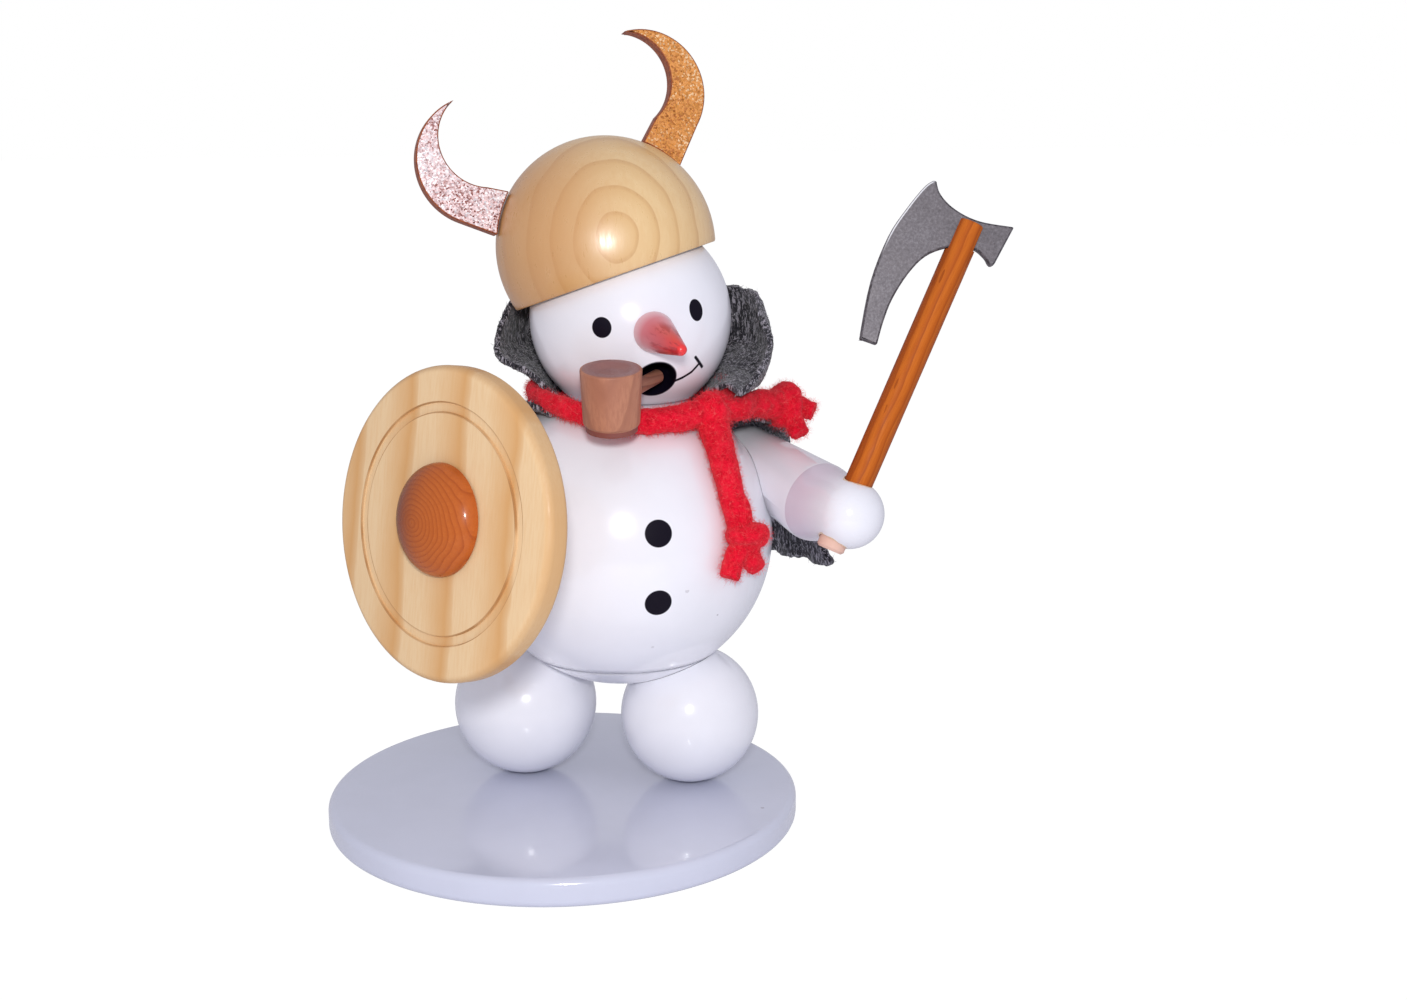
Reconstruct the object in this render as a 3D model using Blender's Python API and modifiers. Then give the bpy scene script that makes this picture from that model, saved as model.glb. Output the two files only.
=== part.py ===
"""Incense smoker figure: a turned snowman dressed as a Viking, on a round base.

The figure's face looks along -Y. The origin is at the centre of the base's
underside and +Z is up. The figure's left is +X. Lengths are in metres and
angles in degrees. The upper body lifts off the lower one, which carries the
incense, and the smoke leaves through the head and the mouth.
"""
import math

import bmesh
import bpy
from mathutils import Matrix, Vector

# Clearance between pieces that touch, and how finely round pieces are turned
GAP = 0.0003
STEPS_LARGE = 28
STEPS_SMALL = 18
STEPS_CUTTER = 32

# Base
BASE_RADIUS = 0.0414
BASE_THICKNESS = 0.0049
BASE_EDGE = 0.0013
BASE_STEPS = 40

# Feet: two balls, each with a small flat to stand on and a dish for the body
FOOT_RIGHT_RADIUS = 0.0128
FOOT_LEFT_RADIUS = 0.0123
FOOT_SPACING = 0.0303
FOOT_FLAT_RADIUS = 0.0027
FOOT_STEPS = 24
FEET_MIDDLE = (0.0091, 0.0036)
FEET_TURN = -27.5

# Body: one ball, parted at a seam into the lower and the upper body
BODY_RADIUS = 0.0266
BODY_SINK = 0.0036
BODY_SHIFT = (0.0031, -0.0007)
SEAM_RADIUS = 0.0164
SEAM_EDGE = 0.0005
LOWER_FLAT_RADIUS = 0.0098
CHAMBER_RADIUS = 0.0126
CHAMBER_SHOULDER = 0.0100
SPIGOT_HEIGHT = 0.0030
SPIGOT_CLEARANCE = 0.0004
DISH_RADIUS = 0.0085
DISH_DEPTH = 0.0010

# Neck and smoke channel
NECK_RADIUS = 0.0107
CHANNEL_RADIUS = 0.0040

# Head
HEAD_RADIUS = 0.0174
HEAD_SHIFT = (0.0019, -0.0007)
MOUTH_RADIUS = 0.0034
MOUTH_LONGITUDE = 0.7
MOUTH_LATITUDE = -31.5
NOSE_RADIUS = 0.0034
NOSE_TIP_RADIUS = 0.0010
NOSE_LENGTH = 0.0120
NOSE_LONGITUDE = -2.4
NOSE_LATITUDE = -2.6
NOSE_AIM = (4.0, -6.9)

# Helmet: a hollow turned cap, a little larger than the head, that rests on it by its rim
HELMET_PROUD = 0.00145
HELMET_WALL = 0.0020
HELMET_DROP = 0.0052
HELMET_TILT = 19.3
HELMET_TILT_TOWARDS = -119.0

# Horns: flat crescents in the helmet's own plane, seen from the front
HORN_THICKNESS = 0.0028
HORN_OUTER_RADIUS = 0.0108
HORN_INNER_RADIUS = 0.0082
HORN_OUTER_PROUD = 0.00694
HORN_OUTER_ANGLE = 51.93
HORN_INNER_PROUD = 0.00825
HORN_INNER_ANGLE = 60.12
HORN_OUTER_START = -52.0
HORN_INNER_END = -70.0
HORN_ROOT_ANGLES = (24.0, 47.0)
HORN_LEFT_TURN = 3.5
HORN_LEFT_SHIFT = (0.0008, 0.0014)

# Pipe
BOWL_TOP_RADIUS = 0.0050
BOWL_BOTTOM_RADIUS = 0.0046
BOWL_HEIGHT = 0.0094
BOWL_DISH_RADIUS = 0.0036
BOWL_DISH_DEPTH = 0.0012
BOWL_FOOT_RADIUS = 0.0042
BOWL_FOOT_HEIGHT = 0.0010
BOWL_PLACE = (-0.0104, -0.0257, -0.0052)
BOWL_AIM = (-14.0, 80.0)
STEM_RADIUS = 0.0012
STEM_HEIGHT = 0.0056
STEM_SEAT = 0.0020
STEM_REACH = 0.0012
STEM_END = (3.5, -31.5)

# Arms: a sleeve that widens to the cuff, and a mitten with a round end
SHOULDER_LONGITUDE = 96.3
SHOULDER_LATITUDE = 24.4
SHOULDER_RADIUS = 0.0054
SHOULDER_RISE = 0.0006
ARM_LONGITUDE = 14.4
ARM_LATITUDE = -8.3
CUFF_RADIUS = 0.0070
CUFF_REACH = 0.0225
CUFF_EDGE = 0.0004
HAND_RADIUS = 0.0059
HAND_REACH = 0.0310
ARM_STEPS = 18

# Axe
HANDLE_RADIUS = 0.0024
HANDLE_ABOVE = 0.0533
HANDLE_BELOW = 0.0065
HANDLE_EDGE = 0.0004
HANDLE_AIM = (98.0, 63.4)
HANDLE_OFFSET = 0.0008
BLADE_THICKNESS = 0.0020
BLADE_FACE_LONGITUDE = -22.0
SLOT_DEPTH = 0.0065
BLADE_WIDTH = 0.0187
BLADE_BEARD = 0.0255

# Shield
SHIELD_RADIUS = 0.0242
SHIELD_THICKNESS = 0.0043
SHIELD_EDGE = 0.0012
SHIELD_LONGITUDE = -59.3
SHIELD_LATITUDE = 8.4
SHIELD_SINK = 0.0008
SHIELD_LIFT = 0.0037
SHIELD_SHIFT = 0.0037
SHIELD_STEPS = 36
GROOVE_RADIUS = 0.0178
GROOVE_WIDTH = 0.0014
GROOVE_DEPTH = 0.0005
BOSS_RADIUS = 0.0087
BOSS_HEIGHT = 0.0045
BOSS_RAISE = 0.0008
BOSS_SHIFT = 0.0006

# Scarf: a ring round the neck, a knot and two tails
SCARF_RADIUS = 0.0020
SCARF_RING_LIE = 0.00455
SCARF_RING_DIP = 0.0026
KNOT_RADIUS = 0.0034
TAIL_KNOT_RADIUS = 0.0032
SCARF_RING_STEPS = 26
SCARF_TAIL_STEPS = 2
KNOT_LONGITUDE = 35.0
KNOT_PROUD = 0.0008
KNOT_STEPS = 12

# The tails' ways, as longitude and latitude seen from the body's centre; the
# back tail lies over the cape, and so has its own rise above the body's ball
FRONT_TAIL_ANGLES = ((34, 44), (30, 36), (28, 28), (28.5, 20), (29, 12), (29, 4), (28, -3), (27, -8))
FRONT_TAIL_KNOT_ANGLES = (29, 10)
BACK_TAIL_ANGLES = ((52, 52.9), (72, 48.6), (84, 42.5), (84, 36.3), (77, 32.0))
BACK_TAIL_RISES = (0.00574, 0.00698, 0.00893, 0.01088, 0.01230)
BACK_TAIL_KNOT_ANGLES = (84, 40.9)
BACK_TAIL_KNOT_RISE = 0.00977

# Cape: felt sheet, pinched under the scarf, with a standing collar. Its rows
# run from hem to collar. The skirt's rows are given as rise above the body's
# ball and latitude seen from its centre, and the collar's in the same way from
# the head. Four rows between them wrap the scarf's ring. Each row ends at one
# longitude on the figure's left and one on its right.
CAPE_THICKNESS = 0.0010
CAPE_STEPS = 14
CAPE_SKIRT_RISES = (0.01524, 0.01222, 0.00958, 0.00865, 0.00642, 0.00397)
CAPE_SKIRT_LATITUDES = (-14.5, -4.4, 11.1, 25.5, 35.1, 42.6)
COLLAR_SKEW_RATIOS = (0.945, 0.10)
CAPE_COLLAR_RISES = (0.00482, 0.00824, 0.00896, 0.00717)
CAPE_COLLAR_LATITUDES = (-22.7, -15.6, -6.3, 8.5)
CAPE_HOLD_ANGLES = (-75, -125, 180, 120)
CAPE_END_LONGITUDES = ((97, 262), (102, 257), (110, 250), (93, 267), (82, 278), (72, 288), (66, 294),
             (66, 294), (70, 290), (76, 284), (82, 272), (86, 262), (92, 250), (105, 238))


def direction(longitude, latitude):
    """Unit vector; longitude 0 is the front, and 90 the figure's left."""
    lon, lat = math.radians(longitude), math.radians(latitude)
    return Vector((math.sin(lon) * math.cos(lat), -math.cos(lon) * math.cos(lat), math.sin(lat)))


def leg(hypotenuse, side):
    """The other short side of a right triangle."""
    return math.sqrt(hypotenuse * hypotenuse - side * side)


def aim(axis, across):
    """Rotation whose +Z is the axis and whose +X is as near to across as it can be."""
    z = Vector(axis).normalized()
    x = Vector(across)
    x = (x - z * x.dot(z)).normalized()
    return Matrix((x, z.cross(x), z)).transposed().to_4x4()


def arc(centre, radius, start, end, count):
    """Points on a circle in the profile plane, from one angle to another."""
    angles = [math.radians(start + (end - start) * i / count) for i in range(count + 1)]
    return [(centre[0] + radius * math.cos(a), centre[1] + radius * math.sin(a)) for a in angles]


def angle_at(radius, side):
    """Angle in degrees above the horizontal where a circle has this half width."""
    return math.degrees(math.acos(side / radius))


# Places worked out from the sizes above
FOOT_AXIS = Vector((math.cos(math.radians(FEET_TURN)), math.sin(math.radians(FEET_TURN)), 0))
FEET = Vector((FEET_MIDDLE[0], FEET_MIDDLE[1], 0))
FOOT_MEAN = (FOOT_RIGHT_RADIUS + FOOT_LEFT_RADIUS) / 2
FOOT_FLOOR = BASE_THICKNESS + GAP
BODY = FEET + Vector((BODY_SHIFT[0], BODY_SHIFT[1], 0))
BODY.z = FOOT_FLOOR + leg(FOOT_MEAN, FOOT_FLAT_RADIUS)
BODY.z += leg(BODY_RADIUS + FOOT_MEAN - BODY_SINK, FOOT_SPACING / 2)
SEAM_DROP = leg(BODY_RADIUS, SEAM_RADIUS)
BODY_NECK = leg(BODY_RADIUS, NECK_RADIUS)
HEAD_NECK = leg(HEAD_RADIUS, NECK_RADIUS)
HEAD = BODY + Vector((HEAD_SHIFT[0], HEAD_SHIFT[1], BODY_NECK + GAP + HEAD_NECK))
NECK = (BODY + HEAD) / 2
RING_TO_BODY = BODY_RADIUS + SCARF_RING_LIE
RING_TO_HEAD = HEAD_RADIUS + SCARF_RING_LIE
RING_SPAN = HEAD.z - BODY.z
SCARF_RING_HEIGHT = (RING_SPAN ** 2 + RING_TO_BODY ** 2 - RING_TO_HEAD ** 2) / (2 * RING_SPAN)
SCARF_RING_RADIUS = leg(RING_TO_BODY, SCARF_RING_HEIGHT)
HELMET_RADIUS = HEAD_RADIUS + HELMET_PROUD
HELMET_RIM = leg(HELMET_RADIUS - HELMET_WALL, HELMET_DROP)
HELMET_UP = direction(HELMET_TILT_TOWARDS, 90 - HELMET_TILT)
HELMET = HEAD + HELMET_UP * (leg(HEAD_RADIUS, HELMET_RIM - GAP) + HELMET_DROP)
BOWL_UP = direction(*BOWL_AIM)
BOWL_TOP = HEAD + Vector(BOWL_PLACE)
MIRROR = Matrix.Diagonal((-1, 1, 1))
ARM = direction(ARM_LONGITUDE, ARM_LATITUDE)
SHOULDER = direction(SHOULDER_LONGITUDE, SHOULDER_LATITUDE) * (BODY_RADIUS + SHOULDER_RISE)
HAND_LEFT = BODY + SHOULDER + ARM * HAND_REACH
HAND_RIGHT = BODY + MIRROR @ (SHOULDER + ARM * HAND_REACH)
SHIELD_OUT = direction(SHIELD_LONGITUDE, SHIELD_LATITUDE)
SHIELD_UP = direction(SHIELD_LONGITUDE, SHIELD_LATITUDE + 90)
SHIELD_ACROSS = SHIELD_UP.cross(SHIELD_OUT)
SHIELD_BACK = HAND_RIGHT + SHIELD_OUT * (HAND_RADIUS - SHIELD_SINK + GAP)
SHIELD_BACK += SHIELD_UP * SHIELD_LIFT + SHIELD_ACROSS * SHIELD_SHIFT
HANDLE_UP = direction(*HANDLE_AIM)


def start_scene():
    """Empty the scene, and make the two collections and the parent empty."""
    for item in list(bpy.data.objects):
        bpy.data.objects.remove(item)
    for name in ("incense_smoker", "cutters"):
        group = bpy.data.collections.new(name)
        bpy.context.scene.collection.children.link(group)
    parent = bpy.data.objects.new("smoker_origin", None)
    bpy.data.collections["incense_smoker"].objects.link(parent)


def make_material(name, colour, roughness, metallic=0.0):
    """A plain Principled material in the piece's colour."""
    material = bpy.data.materials.new(name)
    material.use_nodes = True
    shader = material.node_tree.nodes["Principled BSDF"]
    shader.inputs["Base Color"].default_value = (*colour, 1)
    shader.inputs["Roughness"].default_value = roughness
    shader.inputs["Metallic"].default_value = metallic
    return material


def place(item, at, rotation=None, material=None):
    """Put an object in the model, or among the cutters if it has no material."""
    item.matrix_world = Matrix.Translation(at) @ (rotation or Matrix.Identity(4))
    if material:
        bpy.data.collections["incense_smoker"].objects.link(item)
        item.data.materials.append(material)
        item.parent = bpy.data.objects["smoker_origin"]
    else:
        bpy.data.collections["cutters"].objects.link(item)
        item.hide_render = True
        item.display_type = "WIRE"
    return item


def turned(name, profile, at, rotation=None, material=None, steps=STEPS_LARGE, closed=False):
    """A lathe piece: the profile runs down its outer side, from top to bottom."""
    mesh = bpy.data.meshes.new(name)
    count = len(profile)
    edges = [(i, i + 1) for i in range(count - 1)] + ([(count - 1, 0)] if closed else [])
    mesh.from_pydata([(r, 0, z) for r, z in profile], edges, [])
    item = place(bpy.data.objects.new(name, mesh), at, rotation, material)
    screw = item.modifiers.new("turn", "SCREW")
    screw.steps = screw.render_steps = steps
    screw.use_merge_vertices = True
    screw.merge_threshold = 0.00001
    screw.use_smooth_shade = True
    return item


def ball_cutter(name, centre, radius, steps=STEPS_CUTTER):
    """A ball that dishes what is seated on it, or a knot to join on."""
    mesh = bpy.data.meshes.new(name)
    shape = bmesh.new()
    bmesh.ops.create_uvsphere(shape, u_segments=steps, v_segments=steps // 2, radius=radius)
    shape.to_mesh(mesh)
    shape.free()
    return place(bpy.data.objects.new(name, mesh), centre)


def rod_cutter(name, start, axis, radius, length, steps=STEPS_SMALL):
    """A round rod that bores a straight hole from its start."""
    mesh = bpy.data.meshes.new(name)
    shape = bmesh.new()
    bmesh.ops.create_cone(shape, cap_ends=True, segments=steps, radius1=radius, radius2=radius, depth=length)
    bmesh.ops.translate(shape, verts=shape.verts, vec=(0, 0, length / 2))
    shape.to_mesh(mesh)
    shape.free()
    return place(bpy.data.objects.new(name, mesh), start, aim(axis, (1, 0.1, 0.2)))


def box_cutter(name, size, at, rotation):
    """A box that cuts a slot."""
    mesh = bpy.data.meshes.new(name)
    shape = bmesh.new()
    bmesh.ops.create_cube(shape, size=1)
    bmesh.ops.scale(shape, verts=shape.verts, vec=size)
    shape.to_mesh(mesh)
    shape.free()
    return place(bpy.data.objects.new(name, mesh), at, rotation)


def combine(item, other, operation="DIFFERENCE"):
    """Cut the item with another object, or join it on."""
    boolean = item.modifiers.new(operation.lower(), "BOOLEAN")
    boolean.operation = operation
    boolean.object = other


def plate(name, outline, thickness, at, rotation, material):
    """A flat outline in its own XY plane, extruded to both sides."""
    curve = bpy.data.curves.new(name, "CURVE")
    curve.dimensions = "2D"
    curve.fill_mode = "BOTH"
    curve.extrude = thickness / 2
    spline = curve.splines.new("POLY")
    spline.points.add(len(outline) - 1)
    for point, (x, y) in zip(spline.points, outline):
        point.co = (x, y, 0, 1)
    spline.use_cyclic_u = True
    return place(bpy.data.objects.new(name, curve), at, rotation, material)


def make_base(paint):
    """The round board that the feet stand on."""
    edge = BASE_EDGE
    inner = BASE_RADIUS - edge
    profile = [(0, BASE_THICKNESS)]
    profile += arc((inner, BASE_THICKNESS - edge), edge, 90, 0, 3)
    profile += arc((inner, edge), edge, 0, -90, 2)
    profile += [(0, 0)]
    turned("base", profile, (0, 0, 0), material=paint, steps=BASE_STEPS)


def make_feet(paint, seat):
    """Two balls, flattened where they stand and dished by the body."""
    for name, radius, side in (("foot_right", FOOT_RIGHT_RADIUS, -1), ("foot_left", FOOT_LEFT_RADIUS, 1)):
        flat = leg(radius, FOOT_FLAT_RADIUS)
        profile = arc((0, 0), radius, 90, -angle_at(radius, FOOT_FLAT_RADIUS), 11) + [(0, -flat)]
        profile[0] = (0, radius)
        centre = FEET + FOOT_AXIS * (side * FOOT_SPACING / 2)
        centre.z = FOOT_FLOOR + flat
        foot = turned(name, profile, centre, material=paint, steps=FOOT_STEPS)
        combine(foot, seat)


def make_lower_body(paint):
    """The part of the body that stays on the feet, with the dish for the cone."""
    top = -SEAM_DROP - GAP / 2
    rim = leg(BODY_RADIUS, top)
    spigot = CHAMBER_RADIUS - SPIGOT_CLEARANCE
    raised = top + SPIGOT_HEIGHT
    bottom = -leg(BODY_RADIUS, LOWER_FLAT_RADIUS)
    floor = raised - DISH_DEPTH
    profile = [(0, floor), (DISH_RADIUS - DISH_DEPTH, floor), (DISH_RADIUS, raised)]
    profile += arc((spigot - SEAM_EDGE, raised - SEAM_EDGE), SEAM_EDGE, 90, 0, 2)
    profile += [(spigot, top), (rim - SEAM_EDGE * 2, top)]
    profile += arc((0, 0), BODY_RADIUS, -angle_at(BODY_RADIUS, rim - SEAM_EDGE / 2),
                   -angle_at(BODY_RADIUS, LOWER_FLAT_RADIUS), 5)
    profile += [(0, bottom)]
    turned("lower_body", profile, BODY, material=paint)


def make_upper_body(paint):
    """The hollow part that lifts off, open below and bored through at the neck."""
    bottom = -SEAM_DROP + GAP / 2
    rim = leg(BODY_RADIUS, bottom)
    shoulder = CHAMBER_SHOULDER
    bend = CHAMBER_RADIUS - CHANNEL_RADIUS
    profile = arc((0, 0), BODY_RADIUS, angle_at(BODY_RADIUS, NECK_RADIUS),
                  -angle_at(BODY_RADIUS, rim + SEAM_EDGE / 2), 12)
    profile += [(rim - SEAM_EDGE / 2, bottom), (CHAMBER_RADIUS, bottom)]
    profile += arc((CHANNEL_RADIUS, shoulder), bend, 0, 90, 5)
    profile += [(CHANNEL_RADIUS, BODY_NECK)]
    turned("upper_body", profile, BODY, material=paint, closed=True)


def make_head(paint):
    """The head ball, bored from below, with the mouth hole meeting the bore."""
    profile = arc((0, 0), HEAD_RADIUS, 90, -angle_at(HEAD_RADIUS, NECK_RADIUS), 12)
    profile[0] = (0, HEAD_RADIUS)
    profile += [(CHANNEL_RADIUS, -HEAD_NECK), (CHANNEL_RADIUS, 0), (0, CHANNEL_RADIUS / 2)]
    head = turned("head", profile, HEAD, material=paint)
    mouth = direction(MOUTH_LONGITUDE, MOUTH_LATITUDE)
    combine(head, rod_cutter("mouth_cutter", HEAD, mouth, MOUTH_RADIUS, HEAD_RADIUS * 1.2))


def make_nose(paint, seat):
    """A tapered nose with a round tip, dished by the head."""
    tip = NOSE_TIP_RADIUS
    profile = arc((0, NOSE_LENGTH), tip, 90, 15, 3) + [(NOSE_RADIUS, 0), (NOSE_RADIUS, -tip), (0, -tip)]
    profile[0] = (0, NOSE_LENGTH + tip)
    root = HEAD + direction(NOSE_LONGITUDE, NOSE_LATITUDE) * HEAD_RADIUS
    nose = turned("nose", profile, root, aim(direction(*NOSE_AIM), (1, 0, 0)), paint, STEPS_SMALL)
    combine(nose, seat)


def make_helmet(wood):
    """A hollow cap, cut off below its widest part."""
    inside = HELMET_RADIUS - HELMET_WALL
    rim = leg(HELMET_RADIUS, HELMET_DROP)
    profile = arc((0, 0), HELMET_RADIUS, 90, -angle_at(HELMET_RADIUS, rim), 10)
    profile += arc((0, 0), inside, -angle_at(inside, HELMET_RIM), 90, 6)
    profile[0] = (0, HELMET_RADIUS)
    profile[-1] = (0, inside)
    turned("helmet", profile, HELMET, aim(HELMET_UP, (1, 0, 0)), wood)


def horn_outline(turn, shift):
    """A crescent whose root follows the helmet, turned about the helmet's centre."""
    seat = HELMET_RADIUS + GAP
    outer, inner = [Vector(arc((0, 0), HELMET_RADIUS + proud, angle, angle, 1)[0]) + Vector(shift)
                    for proud, angle in ((HORN_OUTER_PROUD, HORN_OUTER_ANGLE), (HORN_INNER_PROUD, HORN_INNER_ANGLE))]
    apart = inner - outer
    reach = HORN_OUTER_RADIUS ** 2 + apart.length_squared - HORN_INNER_RADIUS ** 2
    bearing = math.atan2(apart.y, apart.x)
    tip = bearing - math.acos(reach / (2 * HORN_OUTER_RADIUS * apart.length))
    point = outer + Vector((math.cos(tip), math.sin(tip))) * HORN_OUTER_RADIUS - inner
    tip_inner = math.degrees(math.atan2(point.y, point.x))
    outline = arc(outer, HORN_OUTER_RADIUS, HORN_OUTER_START, math.degrees(tip), 12)
    outline += arc(inner, HORN_INNER_RADIUS, tip_inner, HORN_INNER_END, 10)[1:]
    outline += arc((0, 0), seat, HORN_ROOT_ANGLES[1], HORN_ROOT_ANGLES[0], 4)
    c, s = math.cos(math.radians(turn)), math.sin(math.radians(turn))
    return [(x * c - y * s, x * s + y * c) for x, y in outline]


def make_horns(glitter):
    """Two flat horns, each glued to the side of the helmet."""
    side = Vector((1, 0, 0))
    side = (side - HELMET_UP * side.dot(HELMET_UP)).normalized()
    facing = side.cross(HELMET_UP)
    horns = (("horn_left", 1, HORN_LEFT_TURN, HORN_LEFT_SHIFT), ("horn_right", -1, 0, (0, 0)))
    for name, sign, turn, shift in horns:
        outline = [(sign * x, y) for x, y in horn_outline(turn, shift)]
        plate(name, outline, HORN_THICKNESS, HELMET, aim(facing, side), glitter)


def make_pipe(wood):
    """The bowl, with a shallow dish and a foot ring, and the stem into the mouth."""
    height, top, foot = BOWL_HEIGHT, BOWL_TOP_RADIUS, BOWL_FOOT_RADIUS
    profile = [(0, -BOWL_DISH_DEPTH), (BOWL_DISH_RADIUS / 2, -BOWL_DISH_DEPTH * 0.9), (BOWL_DISH_RADIUS, 0)]
    profile += arc((top - GAP, -GAP), GAP, 90, 0, 2)
    profile += arc((BOWL_BOTTOM_RADIUS - 2 * GAP, 2 * GAP - height), 2 * GAP, 0, -60, 3)
    profile += [(foot, -height - GAP), (foot, -height - BOWL_FOOT_HEIGHT), (0, -height - BOWL_FOOT_HEIGHT)]
    bowl = turned("pipe_bowl", profile, BOWL_TOP, aim(BOWL_UP, (1, 0, 0)), wood, STEPS_SMALL)
    start = BOWL_TOP - BOWL_UP * STEM_HEIGHT
    end = HEAD + direction(*STEM_END) * (HEAD_RADIUS - STEM_REACH)
    along = (end - start).normalized()
    seat = start + along * (BOWL_BOTTOM_RADIUS - STEM_SEAT)
    combine(bowl, rod_cutter("stem_cutter", seat, along, STEM_RADIUS + GAP, BOWL_TOP_RADIUS, 16))
    length = (end - seat).length
    profile = [(0, length), (STEM_RADIUS * 0.8, length), (STEM_RADIUS, length - GAP)]
    profile += [(STEM_RADIUS, GAP), (0, GAP)]
    turned("pipe_stem", profile, seat, aim(along, (1, 0, 0)), wood, 16)


def arm_profile():
    """Outline of an arm, from the mitten's round end back to the shoulder."""
    lip = CUFF_RADIUS - CUFF_EDGE
    profile = arc((0, HAND_REACH), HAND_RADIUS, 90, 0, 6)
    profile[0] = (0, HAND_REACH + HAND_RADIUS)
    back = CUFF_REACH - CUFF_EDGE
    profile += [(HAND_RADIUS, back), (lip, CUFF_REACH), (CUFF_RADIUS, back)]
    profile += arc((0, 0), SHOULDER_RADIUS, 0, -90, 5)
    profile[-1] = (0, -SHOULDER_RADIUS)
    return profile


def make_arms(paint, seat):
    """Left arm, bored for the axe, and right arm, flattened behind the shield."""
    shoulder = BODY + SHOULDER
    left = turned("arm_left", arm_profile(), shoulder, aim(ARM, (0, 0, 1)), paint, ARM_STEPS)
    combine(left, seat)
    start = HAND_LEFT - HANDLE_UP * HAND_RADIUS * 2 - Vector((HANDLE_OFFSET, 0, 0))
    combine(left, rod_cutter("handle_cutter", start, HANDLE_UP, HANDLE_RADIUS + GAP, HAND_RADIUS * 4))
    shoulder = BODY + MIRROR @ SHOULDER
    right = turned("arm_right", arm_profile(), shoulder, aim(MIRROR @ ARM, (0, 0, 1)), paint, ARM_STEPS)
    combine(right, seat)
    start = SHIELD_BACK - SHIELD_OUT * GAP
    combine(right, rod_cutter("shield_cutter", start, SHIELD_OUT, SHIELD_RADIUS, SHIELD_THICKNESS * 2))


def blade_outline():
    """A bearded axe head; x runs away from the edge, y along the handle."""
    width, beard = BLADE_WIDTH, BLADE_BEARD
    edge = -0.65 * width
    outline = [(0.345 * width, 0.0018), (0.08 * width, 0.0005), (-0.11 * width, 0.0004)]
    outline += [(-0.30 * width, 0.0010), (-0.39 * width, 0.0019), (-0.44 * width, 0.0032)]
    outline += [(-0.478 * width, 0.0039), (-0.525 * width, 0.0026)]
    outline += [(edge + 0.055 * width, -0.0015), (edge + 0.012 * width, -0.0065), (edge, -0.0125)]
    outline += [(edge + 0.04 * width, -0.0198), (edge + 0.14 * width, -beard)]
    outline += [(-0.371 * width, -beard + 0.0004)]
    outline += [(-0.39 * width, -0.0224), (-0.414 * width, -0.0175), (-0.388 * width, -0.0127)]
    outline += [(-0.305 * width, -0.0091), (-0.16 * width, -0.0062), (0.104 * width, -0.0045)]
    outline += [(0.177 * width, -0.0048), (0.29 * width, -0.0059), (0.345 * width, -0.0036)]
    return outline


def make_axe(wood, silver):
    """The dowel handle, slotted at its top, and the flat blade in the slot."""
    foot = HAND_LEFT - HANDLE_UP * HANDLE_BELOW - Vector((HANDLE_OFFSET, 0, 0))
    length = HANDLE_ABOVE + HANDLE_BELOW
    profile = [(0, length), (HANDLE_RADIUS - HANDLE_EDGE, length), (HANDLE_RADIUS, length - HANDLE_EDGE)]
    profile += [(HANDLE_RADIUS, HANDLE_EDGE), (HANDLE_RADIUS - HANDLE_EDGE, 0), (0, 0)]
    handle = turned("axe_handle", profile, foot, aim(HANDLE_UP, (0, -1, 0)), wood, STEPS_SMALL)
    facing = direction(BLADE_FACE_LONGITUDE, 0)
    facing = (facing - HANDLE_UP * facing.dot(HANDLE_UP)).normalized()
    across = HANDLE_UP.cross(facing)
    top = foot + HANDLE_UP * length
    size = (HANDLE_RADIUS * 3, SLOT_DEPTH * 2, BLADE_THICKNESS + 2 * GAP)
    combine(handle, box_cutter("slot_cutter", size, top, aim(facing, across)))
    plate("axe_blade", blade_outline(), BLADE_THICKNESS, top, aim(facing, across), silver)


def make_shield(wood, stain):
    """A turned disc with a shallow ring groove, and the domed boss on its front."""
    edge, front = SHIELD_EDGE, SHIELD_THICKNESS
    ring = GROOVE_WIDTH / 2
    profile = [(0, front), (GROOVE_RADIUS - ring, front), (GROOVE_RADIUS, front - GROOVE_DEPTH)]
    profile += [(GROOVE_RADIUS + ring, front)]
    profile += arc((SHIELD_RADIUS - edge, front - edge), edge, 90, 0, 3)
    profile += arc((SHIELD_RADIUS - edge, edge), edge, 0, -90, 3)
    profile += [(0, 0)]
    rotation = aim(SHIELD_OUT, SHIELD_UP)
    turned("shield", profile, SHIELD_BACK, rotation, wood, SHIELD_STEPS)
    dome = [(BOSS_RADIUS * x, BOSS_HEIGHT * z) for x, z in arc((0, 0), 1, 90, 0, 7)]
    dome[0] = (0, BOSS_HEIGHT)
    seat = SHIELD_BACK + SHIELD_OUT * (SHIELD_THICKNESS + GAP)
    seat += SHIELD_UP * BOSS_RAISE + SHIELD_ACROSS * BOSS_SHIFT
    turned("shield_boss", dome + [(0, 0)], seat, rotation, stain, STEPS_SMALL)


def around_neck(longitude, radius, height):
    """A point at a distance from the neck's axis, and above the body's centre."""
    lon = math.radians(longitude)
    return Vector((NECK.x + radius * math.sin(lon), NECK.y - radius * math.cos(lon), BODY.z + height))


def over_ball(radius, rise, latitude, lift=0):
    """Radius and height of a row that lies above a ball, seen from the body's centre."""
    lat = math.radians(latitude)
    return (radius + rise) * math.cos(lat), (radius + rise) * math.sin(lat) + lift


def ring_height(longitude):
    """Height of the scarf's ring, which dips at the front."""
    return SCARF_RING_HEIGHT - SCARF_RING_DIP * max(0, math.cos(math.radians(longitude))) ** 2


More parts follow.
